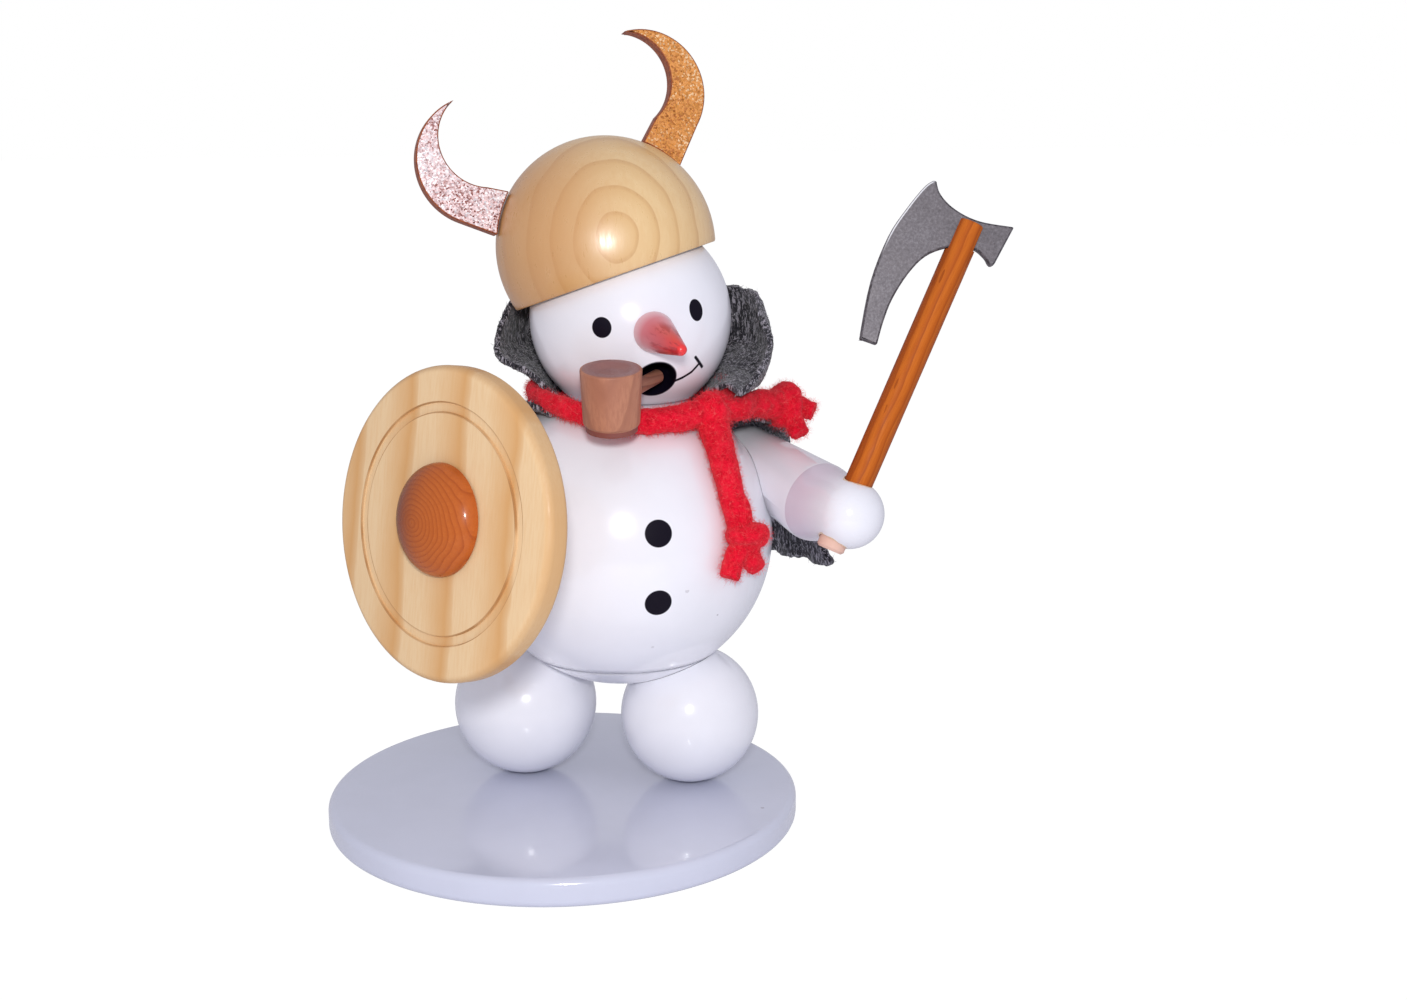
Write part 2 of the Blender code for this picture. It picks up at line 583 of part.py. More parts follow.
def smooth_points(route, per_span):
    """Points on a smooth curve through the route."""
    ends = [route[0] * 2 - route[1]] + list(route) + [route[-1] * 2 - route[-2]]
    points = []
    for i in range(1, len(ends) - 2):
        a, b, c, d = ends[i - 1:i + 3]
        for k in range(per_span):
            t = k / per_span
            points.append(((b * 2) + (c - a) * t + (a * 2 - b * 5 + c * 4 - d) * t * t
                           + (b * 3 - a - c * 3 + d) * t * t * t) / 2)
    return points + [ends[-2]]


def tube_mesh(name, points, radius, closed=False):
    """A soft roll along the points, as one welded mesh among the cutters."""
    curve = bpy.data.curves.new(name, "CURVE")
    curve.dimensions = "3D"
    curve.bevel_depth = radius
    curve.bevel_resolution = 2
    curve.use_fill_caps = True
    spline = curve.splines.new("POLY")
    spline.points.add(len(points) - 1)
    for point, place_at in zip(spline.points, points):
        point.co = (*place_at, 1)
    spline.use_cyclic_u = closed
    source = bpy.data.objects.new(name + "_curve", curve)
    bpy.context.scene.collection.objects.link(source)
    bpy.context.view_layer.update()
    mesh = bpy.data.meshes.new_from_object(source.evaluated_get(bpy.context.evaluated_depsgraph_get()))
    bpy.data.objects.remove(source)
    shape = bmesh.new()
    shape.from_mesh(mesh)
    bmesh.ops.remove_doubles(shape, verts=shape.verts, dist=0.00001)
    bmesh.ops.recalc_face_normals(shape, faces=shape.faces)
    shape.to_mesh(mesh)
    shape.free()
    mesh.materials.clear()
    return bpy.data.objects.new(name, mesh)


def make_scarf(wool):
    """The ring round the neck, the knot on the figure's left, and both knotted tails."""
    turns = [360 * i / SCARF_RING_STEPS for i in range(SCARF_RING_STEPS)]
    ring = [around_neck(turn, SCARF_RING_RADIUS, ring_height(turn)) for turn in turns]
    scarf = place(tube_mesh("scarf", ring, SCARF_RADIUS, closed=True), (0, 0, 0), material=wool)
    knot = around_neck(KNOT_LONGITUDE, SCARF_RING_RADIUS + KNOT_PROUD, ring_height(KNOT_LONGITUDE))
    lie = BODY_RADIUS + SCARF_RADIUS + 2 * GAP
    front = [BODY + direction(lon, lat) * lie for lon, lat in FRONT_TAIL_ANGLES]
    back = [around_neck(lon, *over_ball(BODY_RADIUS, rise, lat))
            for (lon, lat), rise in zip(BACK_TAIL_ANGLES, BACK_TAIL_RISES)]
    front_knot = BODY + direction(*FRONT_TAIL_KNOT_ANGLES) * (lie + TAIL_KNOT_RADIUS - SCARF_RADIUS)
    longitude, latitude = BACK_TAIL_KNOT_ANGLES
    back_knot = around_neck(longitude, *over_ball(BODY_RADIUS, BACK_TAIL_KNOT_RISE, latitude))
    combine(scarf, ball_cutter("scarf_knot", knot, KNOT_RADIUS, KNOT_STEPS), "UNION")
    for name, route, end in (("front", front, front_knot), ("back", back, back_knot)):
        points = smooth_points([knot] + route, SCARF_TAIL_STEPS)
        tail = place(tube_mesh(f"scarf_{name}_tail", points, SCARF_RADIUS), (0, 0, 0))
        combine(scarf, tail, "UNION")
        tail_knot = ball_cutter(f"scarf_{name}_tail_knot", end, TAIL_KNOT_RADIUS, KNOT_STEPS)
        combine(scarf, tail_knot, "UNION")


def cape_rows(longitude):
    """Radius and height of each row of the cape, from the hem to the collar."""
    ring, height = SCARF_RING_RADIUS, ring_height(longitude)
    hold = SCARF_RADIUS + CAPE_THICKNESS / 2 + 2 * GAP
    neck = [(ring + hold * math.cos(math.radians(a)), height + hold * math.sin(math.radians(a)))
            for a in CAPE_HOLD_ANGLES]
    skew = COLLAR_SKEW_RATIOS[0] + COLLAR_SKEW_RATIOS[1] * math.sin(math.radians(longitude))
    skirt = [over_ball(BODY_RADIUS, *row) for row in zip(CAPE_SKIRT_RISES, CAPE_SKIRT_LATITUDES)]
    collar = [over_ball(HEAD_RADIUS, *row, RING_SPAN)
              for row in zip(CAPE_COLLAR_RISES, CAPE_COLLAR_LATITUDES)]
    return skirt + neck + [(radius * skew, height) for radius, height in collar]


def make_cape(felt):
    """A sheet of thick felt, laid over the shoulders and standing at the neck."""
    rows, columns = len(CAPE_END_LONGITUDES), CAPE_STEPS
    mesh = bpy.data.meshes.new("cape")
    shape = bmesh.new()
    bmesh.ops.create_grid(shape, x_segments=columns, y_segments=rows - 1, size=1)
    for vertex in shape.verts:
        row = round((vertex.co.y + 1) / 2 * (rows - 1))
        start, end = CAPE_END_LONGITUDES[row]
        longitude = start + (end - start) * (vertex.co.x + 1) / 2
        vertex.co = around_neck(longitude, *cape_rows(longitude)[row])
    bmesh.ops.recalc_face_normals(shape, faces=shape.faces)
    shape.to_mesh(mesh)
    shape.free()
    cape = place(bpy.data.objects.new("cape", mesh), (0, 0, 0), material=felt)
    sheet = cape.modifiers.new("thickness", "SOLIDIFY")
    sheet.thickness = CAPE_THICKNESS
    sheet.offset = 0


def main():
    start_scene()
    white = make_material("white_paint", (0.86, 0.85, 0.88), 0.25)
    pink = make_material("pink_paint", (0.75, 0.22, 0.24), 0.35)
    pale = make_material("pale_wood", (0.72, 0.53, 0.33), 0.45)
    pine = make_material("pine", (0.78, 0.58, 0.36), 0.5)
    copper = make_material("copper_glitter", (0.72, 0.36, 0.18), 0.3, 0.7)
    mauve = make_material("mauve_wood", (0.45, 0.27, 0.22), 0.5)
    orange = make_material("orange_varnish", (0.55, 0.22, 0.07), 0.3)
    silver = make_material("silver_paint", (0.32, 0.31, 0.32), 0.45, 0.3)
    wool = make_material("red_wool", (0.62, 0.02, 0.05), 0.95)
    felt = make_material("grey_felt", (0.12, 0.12, 0.13), 0.95)
    body_seat = ball_cutter("body_seat_cutter", BODY, BODY_RADIUS + GAP)
    head_seat = ball_cutter("head_seat_cutter", HEAD, HEAD_RADIUS + GAP)
    make_base(white)
    make_feet(white, body_seat)
    make_lower_body(white)
    make_upper_body(white)
    make_head(white)
    make_nose(pink, head_seat)
    make_helmet(pale)
    make_horns(copper)
    make_pipe(mauve)
    make_arms(white, body_seat)
    make_axe(orange, silver)
    make_shield(pine, orange)
    make_scarf(wool)
    make_cape(felt)


main()
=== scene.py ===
import random
from math import acos, atan2, cos, degrees, pi, radians, sin, sqrt, tau

import bpy
from mathutils import Matrix, Vector, noise


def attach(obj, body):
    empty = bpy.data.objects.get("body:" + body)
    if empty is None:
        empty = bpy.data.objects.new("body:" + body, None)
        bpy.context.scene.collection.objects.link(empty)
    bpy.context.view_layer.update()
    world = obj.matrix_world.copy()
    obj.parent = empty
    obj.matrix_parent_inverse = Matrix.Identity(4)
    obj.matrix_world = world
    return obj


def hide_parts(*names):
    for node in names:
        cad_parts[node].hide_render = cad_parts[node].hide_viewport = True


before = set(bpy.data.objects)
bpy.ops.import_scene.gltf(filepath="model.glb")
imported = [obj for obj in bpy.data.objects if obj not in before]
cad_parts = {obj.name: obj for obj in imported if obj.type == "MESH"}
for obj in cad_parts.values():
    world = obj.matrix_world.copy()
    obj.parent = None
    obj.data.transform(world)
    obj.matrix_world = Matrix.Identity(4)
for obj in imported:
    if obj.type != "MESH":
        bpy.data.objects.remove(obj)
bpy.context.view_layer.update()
random.seed(7)

# Sizes and places of the turned pieces, as in the part's source, in metres
GAP = 0.0003
SEAT = 0.00006
FLOOR = 0.0052
BODY = Vector((0.0122, 0.0029, 0.049616))
BODY_RADIUS = 0.0266
HEAD = Vector((0.0141, 0.0022, 0.087991))
HEAD_RADIUS = 0.0174
NECK = Vector((0.01315, 0.00255, 0.068803))
NECK_RADIUS = 0.0107
CHANNEL_RADIUS = 0.0040
SEAM_DROP = 0.0209428
SEAM_EDGE = 0.0005
CHAMBER_RADIUS = 0.0126
CHAMBER_SHOULDER = 0.0100
LOWER_FLAT_RADIUS = 0.0098
HELMET = Vector((0.010445, 0.004226, 0.099923))
HELMET_RADIUS = 0.01885
HELMET_WALL = 0.0020
HELMET_DROP = 0.0052
HAND_LEFT = Vector((0.04445, -0.024093, 0.056378))
HAND_RIGHT = Vector((-0.02005, -0.024093, 0.056378))
SHOULDER = Vector((0.024621, 0.002718, 0.011236))
SHIELD_BACK = Vector((-0.022289, -0.029726, 0.060827))
BOWL_TOP = Vector((0.0037, -0.0235, 0.082791))


def direction(longitude, latitude):
    """Unit vector; longitude 0 is the front, and 90 the figure's left."""
    lon, lat = radians(longitude), radians(latitude)
    return Vector((sin(lon) * cos(lat), -cos(lon) * cos(lat), sin(lat)))


HELMET_UP = direction(-119, 90 - 19.3)
BOWL_UP = direction(-14, 80)
ARM = direction(14.4, -8.3)
SHIELD_OUT = direction(-59.3, 8.4)
SHIELD_UP = direction(-59.3, 98.4)
SHIELD_ACROSS = SHIELD_UP.cross(SHIELD_OUT)
HANDLE_UP = direction(98, 63.4)
UP = Vector((0, 0, 1))
SIDE = Vector((1, 0, 0))
MOUTH = (0.7, -31.5)
NOSE_ROOT = HEAD + direction(-2.4, -2.6) * HEAD_RADIUS
NOSE_AXIS = direction(4.0, -6.9)
HANDLE_PLACE = HAND_LEFT - Vector((0.0008, 0, 0))
HANDLE_RADIUS = 0.0024
SHIELD_RADIUS = 0.0242
FACE_TILT = 0.97


def held(share):
    return min(1.0, max(0.0, share))


def leg(hypotenuse, side):
    """The other short side of a right triangle."""
    return sqrt(hypotenuse * hypotenuse - side * side)


def arc(centre, radius, start, end, count):
    """Points on a circle in a lathe profile, from one angle to another."""
    angles = [radians(start + (end - start) * i / count) for i in range(count + 1)]
    return [(centre[0] + radius * cos(a), centre[1] + radius * sin(a)) for a in angles]


def angle_at(radius, side):
    """Angle in degrees above the horizontal where a circle has this half width."""
    return degrees(acos(side / radius))


def smooth_points(route, per_span):
    """Points on a smooth curve through the route."""
    ends = [route[0] * 2 - route[1]] + list(route) + [route[-1] * 2 - route[-2]]
    points = []
    for i in range(1, len(ends) - 2):
        a, b, c, d = ends[i - 1:i + 3]
        for k in range(per_span):
            t = k / per_span
            points.append(((b * 2) + (c - a) * t + (a * 2 - b * 5 + c * 4 - d) * t * t
                           + (b * 3 - a - c * 3 + d) * t * t * t) / 2)
    return points + [ends[-2]]


def link_new(name, data):
    """A new object for the data, linked to the scene."""
    made = bpy.data.objects.new(name, data)
    bpy.context.scene.collection.objects.link(made)
    return made


def axes(across, along, up):
    """The turn that takes X, Y and Z to three directions."""
    return Matrix((across, along, up)).transposed()


# Camera: where the photograph was taken from
camera = link_new("camera", bpy.data.cameras.new("camera"))
camera.data.lens = 46.1
camera.data.sensor_width = 36
camera.data.clip_start = 0.01
camera.data.clip_end = 20
CAMERA_PLACE = Vector((-0.06846, -0.29812, 0.12143))
CAMERA_AXES = ((0.9525, -0.3045, -0.0054), (0.0680, 0.1957, 0.9783), (-0.2968, -0.9322, 0.2070))
camera.matrix_world = Matrix.Translation(CAMERA_PLACE) @ axes(*CAMERA_AXES).to_4x4()
bpy.context.scene.camera = camera


# Shader helpers

class Shade:
    """A node's output; arithmetic with it adds nodes to its tree."""

    def __init__(self, tree, socket):
        self.tree, self.socket = tree, socket

    def out(self, output):
        """Another output of the same node."""
        return Shade(self.tree, self.socket.node.outputs[output])

    def math(self, operation, other=None, clamp=False):
        return node(self.tree, "Math", self, other, operation=operation, use_clamp=clamp)

    def vector(self, operation, other=None, output=0):
        return node(self.tree, "VectorMath", self, other, operation=operation, output=output)

    def combine(self, operation, other):
        return (self.vector if self.socket.type == "VECTOR" else self.math)(operation, other)

    def __add__(self, other):
        return self.combine("ADD", other)

    def __sub__(self, other):
        return self.combine("SUBTRACT", other)

    def __rsub__(self, other):
        return node(self.tree, "Math", other, self, operation="SUBTRACT")

    def __mul__(self, other):
        return self.combine("MULTIPLY", other)

    def __truediv__(self, other):
        return self.combine("DIVIDE", other)

    def dot(self, other):
        return self.vector("DOT_PRODUCT", other, 1)

    def length(self):
        return self.vector("LENGTH", output=1)

    def reach(self, axis):
        """Distance from an axis through the origin."""
        return self.vector("CROSS_PRODUCT", axis).length()

    def spread(self, low, high, to_low=0.0, to_high=1.0):
        """Map a range onto another, with a smooth step and held ends."""
        return node(self.tree, "MapRange", Value=self, interpolation_type="SMOOTHSTEP",
                    From_Min=low, From_Max=high, To_Min=to_low, To_Max=to_high)


def feed(socket, value):
    """Wire an output to a socket, or set its value; a colour is given without alpha."""
    if isinstance(value, Shade):
        value.tree.links.new(value.socket, socket)
    elif value is not None:
        socket.default_value = (*value, 1) if socket.type == "RGBA" else value


def give(made, **values):
    """Feed the inputs of a node by name; a name that is no input is a property."""
    for name, value in values.items():
        label = name.replace("_", " ")
        if label in made.inputs:
            feed(made.inputs[label], value)
        else:
            setattr(made, name, value)


def node(tree, kind, *inputs, output=0, **values):
    """The output of a new node, with its first inputs in order and others by name."""
    made = tree.nodes.new("ShaderNode" + kind)
    give(made, **values)
    for socket, value in zip(made.inputs, inputs):
        feed(socket, value)
    return Shade(tree, made.outputs[output])


def mix(factor, first, second):
    """A colour between two; the Mix node keeps its colours in inputs 6 and 7."""
    return node(factor.tree, "Mix", factor, *[None] * 5, first, second, data_type="RGBA", output=2)


def ramp(factor, *stops):
    """A colour ramp; each stop is a place and a colour."""
    made = node(factor.tree, "ValToRGB", factor)
    elements = made.socket.node.color_ramp.elements
    for place, _ in stops[2:]:
        elements.new(place)
    for element, (place, colour) in zip(elements, sorted(stops)):
        element.position = place
        element.color = (*colour, 1)
    return made


def cloudy(at, scale, **values):
    return node(at.tree, "TexNoise", Vector=at, Scale=scale, **values)


def start_material(name, **values):
    """A new material, with its Object coordinates."""
    material = bpy.data.materials.new(name)
    material.use_nodes = True
    return finish(material, **values), node(material.node_tree, "TexCoord", output="Object")


def finish(material, bump=None, **values):
    """Feed a material's shader; a bump is a height with its strength and distance."""
    tree = material.node_tree
    if bump:
        values["Normal"] = node(tree, "Bump", Height=bump[0], Strength=bump[1], Distance=bump[2])
    give(tree.nodes["Principled BSDF"], **values)
    return material


def placed(at, centre, across, up):
    """Coordinates from a centre, with X across, Z up and Y through the piece."""
    z = Vector(up).normalized()
    x = (Vector(across) - z * z.dot(across)).normalized()
    return node(at.tree, "Mapping", at, centre, axes(x, z.cross(x), z).to_euler(), vector_type="TEXTURE")


def make_group(name, build, outputs, **inputs):
    """A shader node group of number outputs; an input that has no number by default is a vector."""
    group = bpy.data.node_groups.new(name, "ShaderNodeTree")
    for label, default in inputs.items():
        kind = "NodeSocketFloat" if isinstance(default, float) else "NodeSocketVector"
        socket = group.interface.new_socket(name=label.replace("_", " "), in_out="INPUT", socket_type=kind)
        if default is not None:
            socket.default_value = default
    for label in outputs:
        group.interface.new_socket(name=label, in_out="OUTPUT", socket_type="NodeSocketFloat")
    given = group.nodes.new("NodeGroupInput").outputs
    values = build(*(Shade(group, socket) for socket, _ in zip(given, inputs)))
    for socket, value in zip(group.nodes.new("NodeGroupOutput").inputs, values):
        feed(socket, value)
    return group


def use_group(group, at, **values):
    return node(at.tree, "Group", node_tree=group, Vector=at, **values)


def spot_values(at, place, turn, half_size, edge):
    """A painted spot: 1 inside an ellipsoid with the given place, turn and half sizes."""
    inside = 1.0 - node(at.tree, "Mapping", at, place, turn, half_size, vector_type="TEXTURE").length()
    return [inside.math("DIVIDE", edge, clamp=True)]


def stroke_values(at, start, end, half_width):
    """A painted line between two points, with a half width and a soft edge."""
    off, line = at - start, end - start
    share = off.dot(line).math("DIVIDE", line.dot(line), clamp=True)
    nearest = node(at.tree, "VectorMath", line, operation="SCALE", Scale=share)
    return [(half_width - (off - nearest).length()).math("DIVIDE", half_width * 0.4, clamp=True)]


def ring_values(at, depth, spacing, wander, grain, line):
    """Growth rings: pale early wood that darkens to a thin late line. Depth runs across the rings."""
    sway = (cloudy(at, 90.0) - 0.5) * wander
    ring = ((depth + sway * 2.0) / spacing).math("FRACT")
    rise = (ring - (1.0 - line)).math("DIVIDE", line * 0.7, clamp=True)
    pore = cloudy(at * grain, 10.0, Detail=4.0, Roughness=0.65)
    return ring, rise * ring.spread(0.955, 1.0, 1.0, 0.0), pore


def fleck_values(at, scale, cover):
    """Small flecks over a share of the surface: their mask, and a number for each."""
    cells = node(at.tree, "TexVoronoi", Vector=at, Scale=scale)
    pick = node(at.tree, "SeparateColor", cells.out("Color"))
    return pick.math("LESS_THAN", cover) * cells.math("LESS_THAN", 0.33), pick.out(1)


def lacquer_values(at, roughness):
    """The uneven surface of brushed lacquer: its roughness, its height and its clouding."""
    cloud = cloudy(at, 110.0, Detail=3.0)
    return roughness * cloud.spread(0.3, 0.7, 0.75, 1.3), cloudy(at, 900.0, Detail=1.0), cloud


SPOT = make_group("painted_spot", spot_values, ["Mask"], Vector=None, Place=None, Turn=None, Half_Size=None,
                  Edge=0.05)
STROKE = make_group("painted_stroke", stroke_values, ["Mask"], Vector=None, From=None, To=None,
                    Half_Width=0.0002)
RINGS = make_group("growth_rings", ring_values, ("Ring", "Late Line", "Pore"), Vector=None, Depth=0.0,
                   Spacing=0.003, Wander=0.0006, Grain=(300, 300, 60), Line=0.2)
FLECKS = make_group("flecks", fleck_values, ("Mask", "Pick"), Vector=None, Scale=2000.0, Cover=0.1)
LACQUER = make_group("lacquer", lacquer_values, ("Roughness", "Height", "Cloud"), Vector=None, Roughness=0.2)

PAINT_WHITE = (0.90, 0.90, 0.955)
PAINT_BLACK = (0.006, 0.004, 0.011)
PAINT_SPECK = (0.25, 0.20, 0.23)
MARK_DEPTH = 0.004


def ball_spot(centre, radius, longitude, latitude, width, height, roll=0.0, depth=MARK_DEPTH):
    """A painted ellipse on a ball."""
    out = direction(longitude, latitude)
    up = direction(longitude, latitude + 90)
    up.rotate(Matrix.Rotation(radians(roll), 3, out))
    turn, half = axes(up.cross(out), up, out).to_euler(), (width / 2, height / 2, depth)
    return lambda at: use_group(SPOT, at, Place=centre + out * radius, Turn=turn, Half_Size=half)


def ball_stroke(centre, radius, first, last, half_width):
    """A painted line on a ball, between two places given as longitude and latitude."""
    start, end = (centre + direction(*place) * radius for place in (first, last))
    return lambda at: use_group(STROKE, at, From=start, To=end, Half_Width=half_width)


def gloss_paint(name, white, coat, coat_roughness):
    """Brushed gloss paint: its material, coordinates, clouded colour and roughness."""
    material, at = start_material(name, Coat_Weight=coat, Coat_Roughness=coat_roughness, IOR=1.5)
    roughness = use_group(LACQUER, at, Roughness=0.17)
    finish(material, (roughness.out("Height"), 0.10, 0.00004))
    colour = mix(roughness.out("Cloud").spread(0.25, 0.75), white, tuple(0.965 * part for part in white))
    return material, at, colour, roughness


def white_lacquer(name, marks=(), white=PAINT_WHITE, coat=0.5):
    """Gloss white paint with faint specks, and any painted marks, which shine less."""
    material, at, colour, roughness = gloss_paint(name, white, coat, 0.09)
    specks = use_group(FLECKS, at, Scale=800.0, Cover=0.002)
    colour, marked = mix(specks * specks.out("Pick") * 0.6, colour, PAINT_SPECK), None
    for mark in marks:
        mask = mark(at)
        marked = marked.math("MAXIMUM", mask) if marked else mask
        colour, roughness = mix(mask, colour, PAINT_BLACK), roughness + mask * 0.15
    if marked:
        bare = 1.0 - marked
        finish(material, Coat_Weight=bare * (coat * 0.9) + coat * 0.1, Specular_IOR_Level=bare * 0.4 + 0.1)
    return finish(material, Base_Color=colour, Roughness=roughness)


def head_material():
    """The head's white paint with eyes, mouth rim, smile and cheek tick."""
    marks = [ball_spot(HEAD, HEAD_RADIUS, -31.2, 0.3, 0.0034, 0.00355, 9),
             ball_spot(HEAD, HEAD_RADIUS, 23.8, 8.1, 0.0029, 0.0038, 9),
             ball_spot(HEAD, HEAD_RADIUS - 0.005, *MOUTH, 0.00784, 0.00784, depth=4 * MARK_DEPTH)]
    smile = ((12.4, -33.4), (19.5, -31.0), (25.5, -27.8), (30.0, -22.6))
    for first, last in (*zip(smile, smile[1:]), ((25.2, -18.4), (34.0, -25.4))):
        marks.append(ball_stroke(HEAD, HEAD_RADIUS, first, last, 0.00034))
    return white_lacquer("head_paint", marks, coat=0.3)


def arm_material(name, hand, axis):
    """White paint that turns mauve on the mitten next to the cuff, and is chipped round the axe."""
    material, at, colour, roughness = gloss_paint(name, PAINT_WHITE, 0.5, 0.06)
    along = (at - hand).dot(axis)
    mauve = along.spread(-0.0089, -0.0088) * along.spread(-0.0070, 0.0015, 1.0, 0.0)
    colour = mix(mauve, colour, (0.70, 0.61, 0.70))
    if hand is HAND_LEFT:
        edge = (at - HANDLE_PLACE).reach(HANDLE_UP) + cloudy(at, 900.0) * -0.0008
        colour = mix(edge.spread(0.00235, 0.00245, 1.0, 0.0), colour, (0.80, 0.62, 0.42))
    return finish(material, Base_Color=colour, Roughness=roughness)


def wood(name, centre, across, up, rings, colours, grain=(260, 260, 40), round_grain=0.0,
         roughness=0.45, coat=0.0, pore=0.35, line_share=0.5, fleck_cover=0.0, shine=0.3, tint=None):
    """Turned wood: growth rings stacked along the up direction or round it, with fine grain lines.

    Rings are spacing, wander and line width; colours are early wood, late wood and ring line."""
    material, at = start_material(name, Coat_Weight=coat, Coat_Roughness=0.12, Specular_IOR_Level=shine)
    local = placed(at, centre, across, up)
    depth = node(at.tree, "SeparateXYZ", local, output=2)
    if round_grain:
        depth = (local * (1.0, round_grain, 0.0)).length()
    spacing, wander, width = rings
    ring = use_group(RINGS, local, Depth=depth, Spacing=spacing, Wander=wander, Grain=grain, Line=width)
    fine = ring.out("Pore")
    early, late, line = colours
    colour = ramp(ring, (0.0, early), (0.35, early), (0.85, late), (1.0, early))
    colour = mix(ring.out("Late Line") * line_share, colour, line)
    colour = mix(fine.spread(0.38, 0.66) * pore, colour, late)
    if fleck_cover:
        mark = use_group(FLECKS, local * (1.0, 0.16, 1.0), Scale=1500.0, Cover=fleck_cover)
        colour = mix(mark * 0.6, colour, line)
    if tint:
        colour = tint(at, colour)
    uneven = fine.spread(0.3, 0.7, roughness * 0.8, roughness * 1.2)
    return finish(material, (fine, 0.3, 0.00006), Base_Color=colour, Roughness=uneven)


def nose_material():
    """Pale pink at the root, red streaks towards a bright red tip."""
    material, at = start_material("nose_paint", Coat_Weight=0.35, Coat_Roughness=0.15, Roughness=0.32)
    local = placed(at, NOSE_ROOT, SIDE, NOSE_AXIS)
    height = node(at.tree, "SeparateXYZ", local, output=2)
    streaks = cloudy(local * (700.0, 700.0, 160.0), 1.0, Detail=3.0, Roughness=0.6)
    colour = ramp(height / 0.013, (0.0, (0.80, 0.44, 0.47)), (0.16, (0.70, 0.16, 0.19)),
                  (0.6, (0.66, 0.085, 0.095)), (0.8, (0.74, 0.05, 0.05)), (1.0, (0.85, 0.03, 0.03)))
    brushed = streaks.spread(0.52, 0.60) * height.spread(0.003, 0.006) * 0.75
    return finish(material, (streaks, 0.2, 0.00006), Base_Color=mix(brushed, colour, (0.45, 0.02, 0.03)))


def glitter_material(name, deep, middle, flash, cover):
    """Board coated with glitter: each grain has its own colour and tilt, and the brightest stop paints a share of
    grains as glints.
    """
    material, at = start_material(name, Coat_Weight=0.4, Coat_Roughness=0.1, Specular_IOR_Level=0.7)
    grains = node(at.tree, "TexVoronoi", Vector=at, Scale=3600.0, output="Color")
    tone = node(at.tree, "SeparateColor", grains)
    tilt, metal = tone.out(1), tone.out(2)
    mottle = cloudy(at, 170.0) - 0.5
    # The flash stop is a painted glint: a share of grains drawn as if they caught the light.
    colour = ramp(tone + mottle, (0.0, deep), (0.35, middle), (1.0 - cover, middle), (1.0, flash))
    return finish(material, (tilt, 0.55, 0.00010), Base_Color=colour,
                  Roughness=tilt.spread(0.0, 1.0, 0.16, 0.55), Metallic=metal.spread(0.3, 0.8, 0.15, 0.85))


def rim_material(name, dark, light, metallic, bright=None):
    """The sawn or ground rim of a plate; where a mask is given, a painted highlight in pale silver."""
    material, at = start_material(name, Roughness=0.5, Metallic=metallic, Specular_IOR_Level=0.3)
    colour = ramp(cloudy(at, 1500.0), (0.35, dark), (0.65, light))
    # The given mask mixes in a painted highlight.
    return finish(material, Base_Color=mix(bright(at), colour, (0.85, 0.85, 0.87)) if bright else colour)


def silver_material():
    """Dull silver paint with fine speckle."""
    material, at = start_material("silver_paint", Coat_Weight=0.15, Coat_Roughness=0.3, Metallic=0.35)
    speck, cloud = cloudy(at, 2400.0, Roughness=0.7), cloudy(at, 220.0, Detail=3.0)
    colour = ramp(speck * 0.7 + cloud * 0.3, (0.30, (0.085, 0.075, 0.082)),
                  (0.52, (0.145, 0.130, 0.142)), (0.75, (0.24, 0.225, 0.24)))
    return finish(material, (speck, 0.25, 0.00005), Base_Color=colour,
                  Roughness=cloud.spread(0.3, 0.7, 0.38, 0.55))


def wool_material():
    """Red felted wool: soft mottling whose darker pits are painted shade, pale fibre tips and a soft sheen."""
    material, at = start_material(
        "red_wool", Roughness=0.92, Sheen_Weight=0.25, Sheen_Roughness=0.45, Sheen_Tint=(1.0, 0.35, 0.35),
        Specular_IOR_Level=0.15)
    clumps = cloudy(at, 650.0, Detail=4.0, Roughness=0.65)
    tone = clumps * 0.65 + cloudy(at, 2600.0, Detail=3.0, Roughness=0.7, Distortion=1.4) * 0.35
    # The tone also drives the bump, so its dark stops paint shade into the pits.
    colour = ramp(tone, (0.34, (0.50, 0.002, 0.012)), (0.50, (0.78, 0.004, 0.026)),
                  (0.70, (0.95, 0.022, 0.055)))
    return finish(material, (tone, 0.7, 0.00035), Base_Color=colour)


def felt_material():
    """Dark grey felt: mottled, with painted shade in the gaps and pale crossing fibres."""
    material, at = start_material("grey_felt", Roughness=0.9, Sheen_Weight=0.25, Sheen_Roughness=0.5,
                                          Specular_IOR_Level=0.2)
    mottle = cloudy(at, 420.0, Detail=5.0, Roughness=0.7)
    tone = mottle * 0.6 + cloudy(at, 2100.0, Detail=3.0, Roughness=0.7) * 0.4
    # The tone also drives the bump, so its near-black stop paints shade into the gaps.
    colour = ramp(tone, (0.42, (0.006, 0.006, 0.009)), (0.53, (0.030, 0.028, 0.036)),
                  (0.66, (0.13, 0.125, 0.14)))
    for turn, threshold in (((0.5, 0.3, 0.9), 0.59), ((1.2, -0.6, 0.2), 0.595), ((-0.4, 1.1, 2.0), 0.595)):
        drawn = node(at.tree, "Mapping", at, None, turn, (2600, 2600, 420), vector_type="POINT")
        hair = cloudy(drawn, 1.0, Distortion=0.8).spread(threshold, threshold + 0.04)
        colour = mix(hair * 0.65, colour, (0.54, 0.51, 0.57))
    return finish(material, (tone, 0.8, 0.0004), Base_Color=colour)


def fibre_material(name, colours):
    """Fibres of mixed tones, one tone to each small region."""
    material, at = start_material(name, Roughness=0.7, Specular_IOR_Level=0.3)
    stops = [(0.3 + 0.4 * i / (len(colours) - 1), colour) for i, colour in enumerate(colours)]
    return finish(material, Base_Color=ramp(cloudy(at, 1400.0), *stops))


# Modelling helpers

def deselect():
    bpy.ops.object.select_all(action="DESELECT")


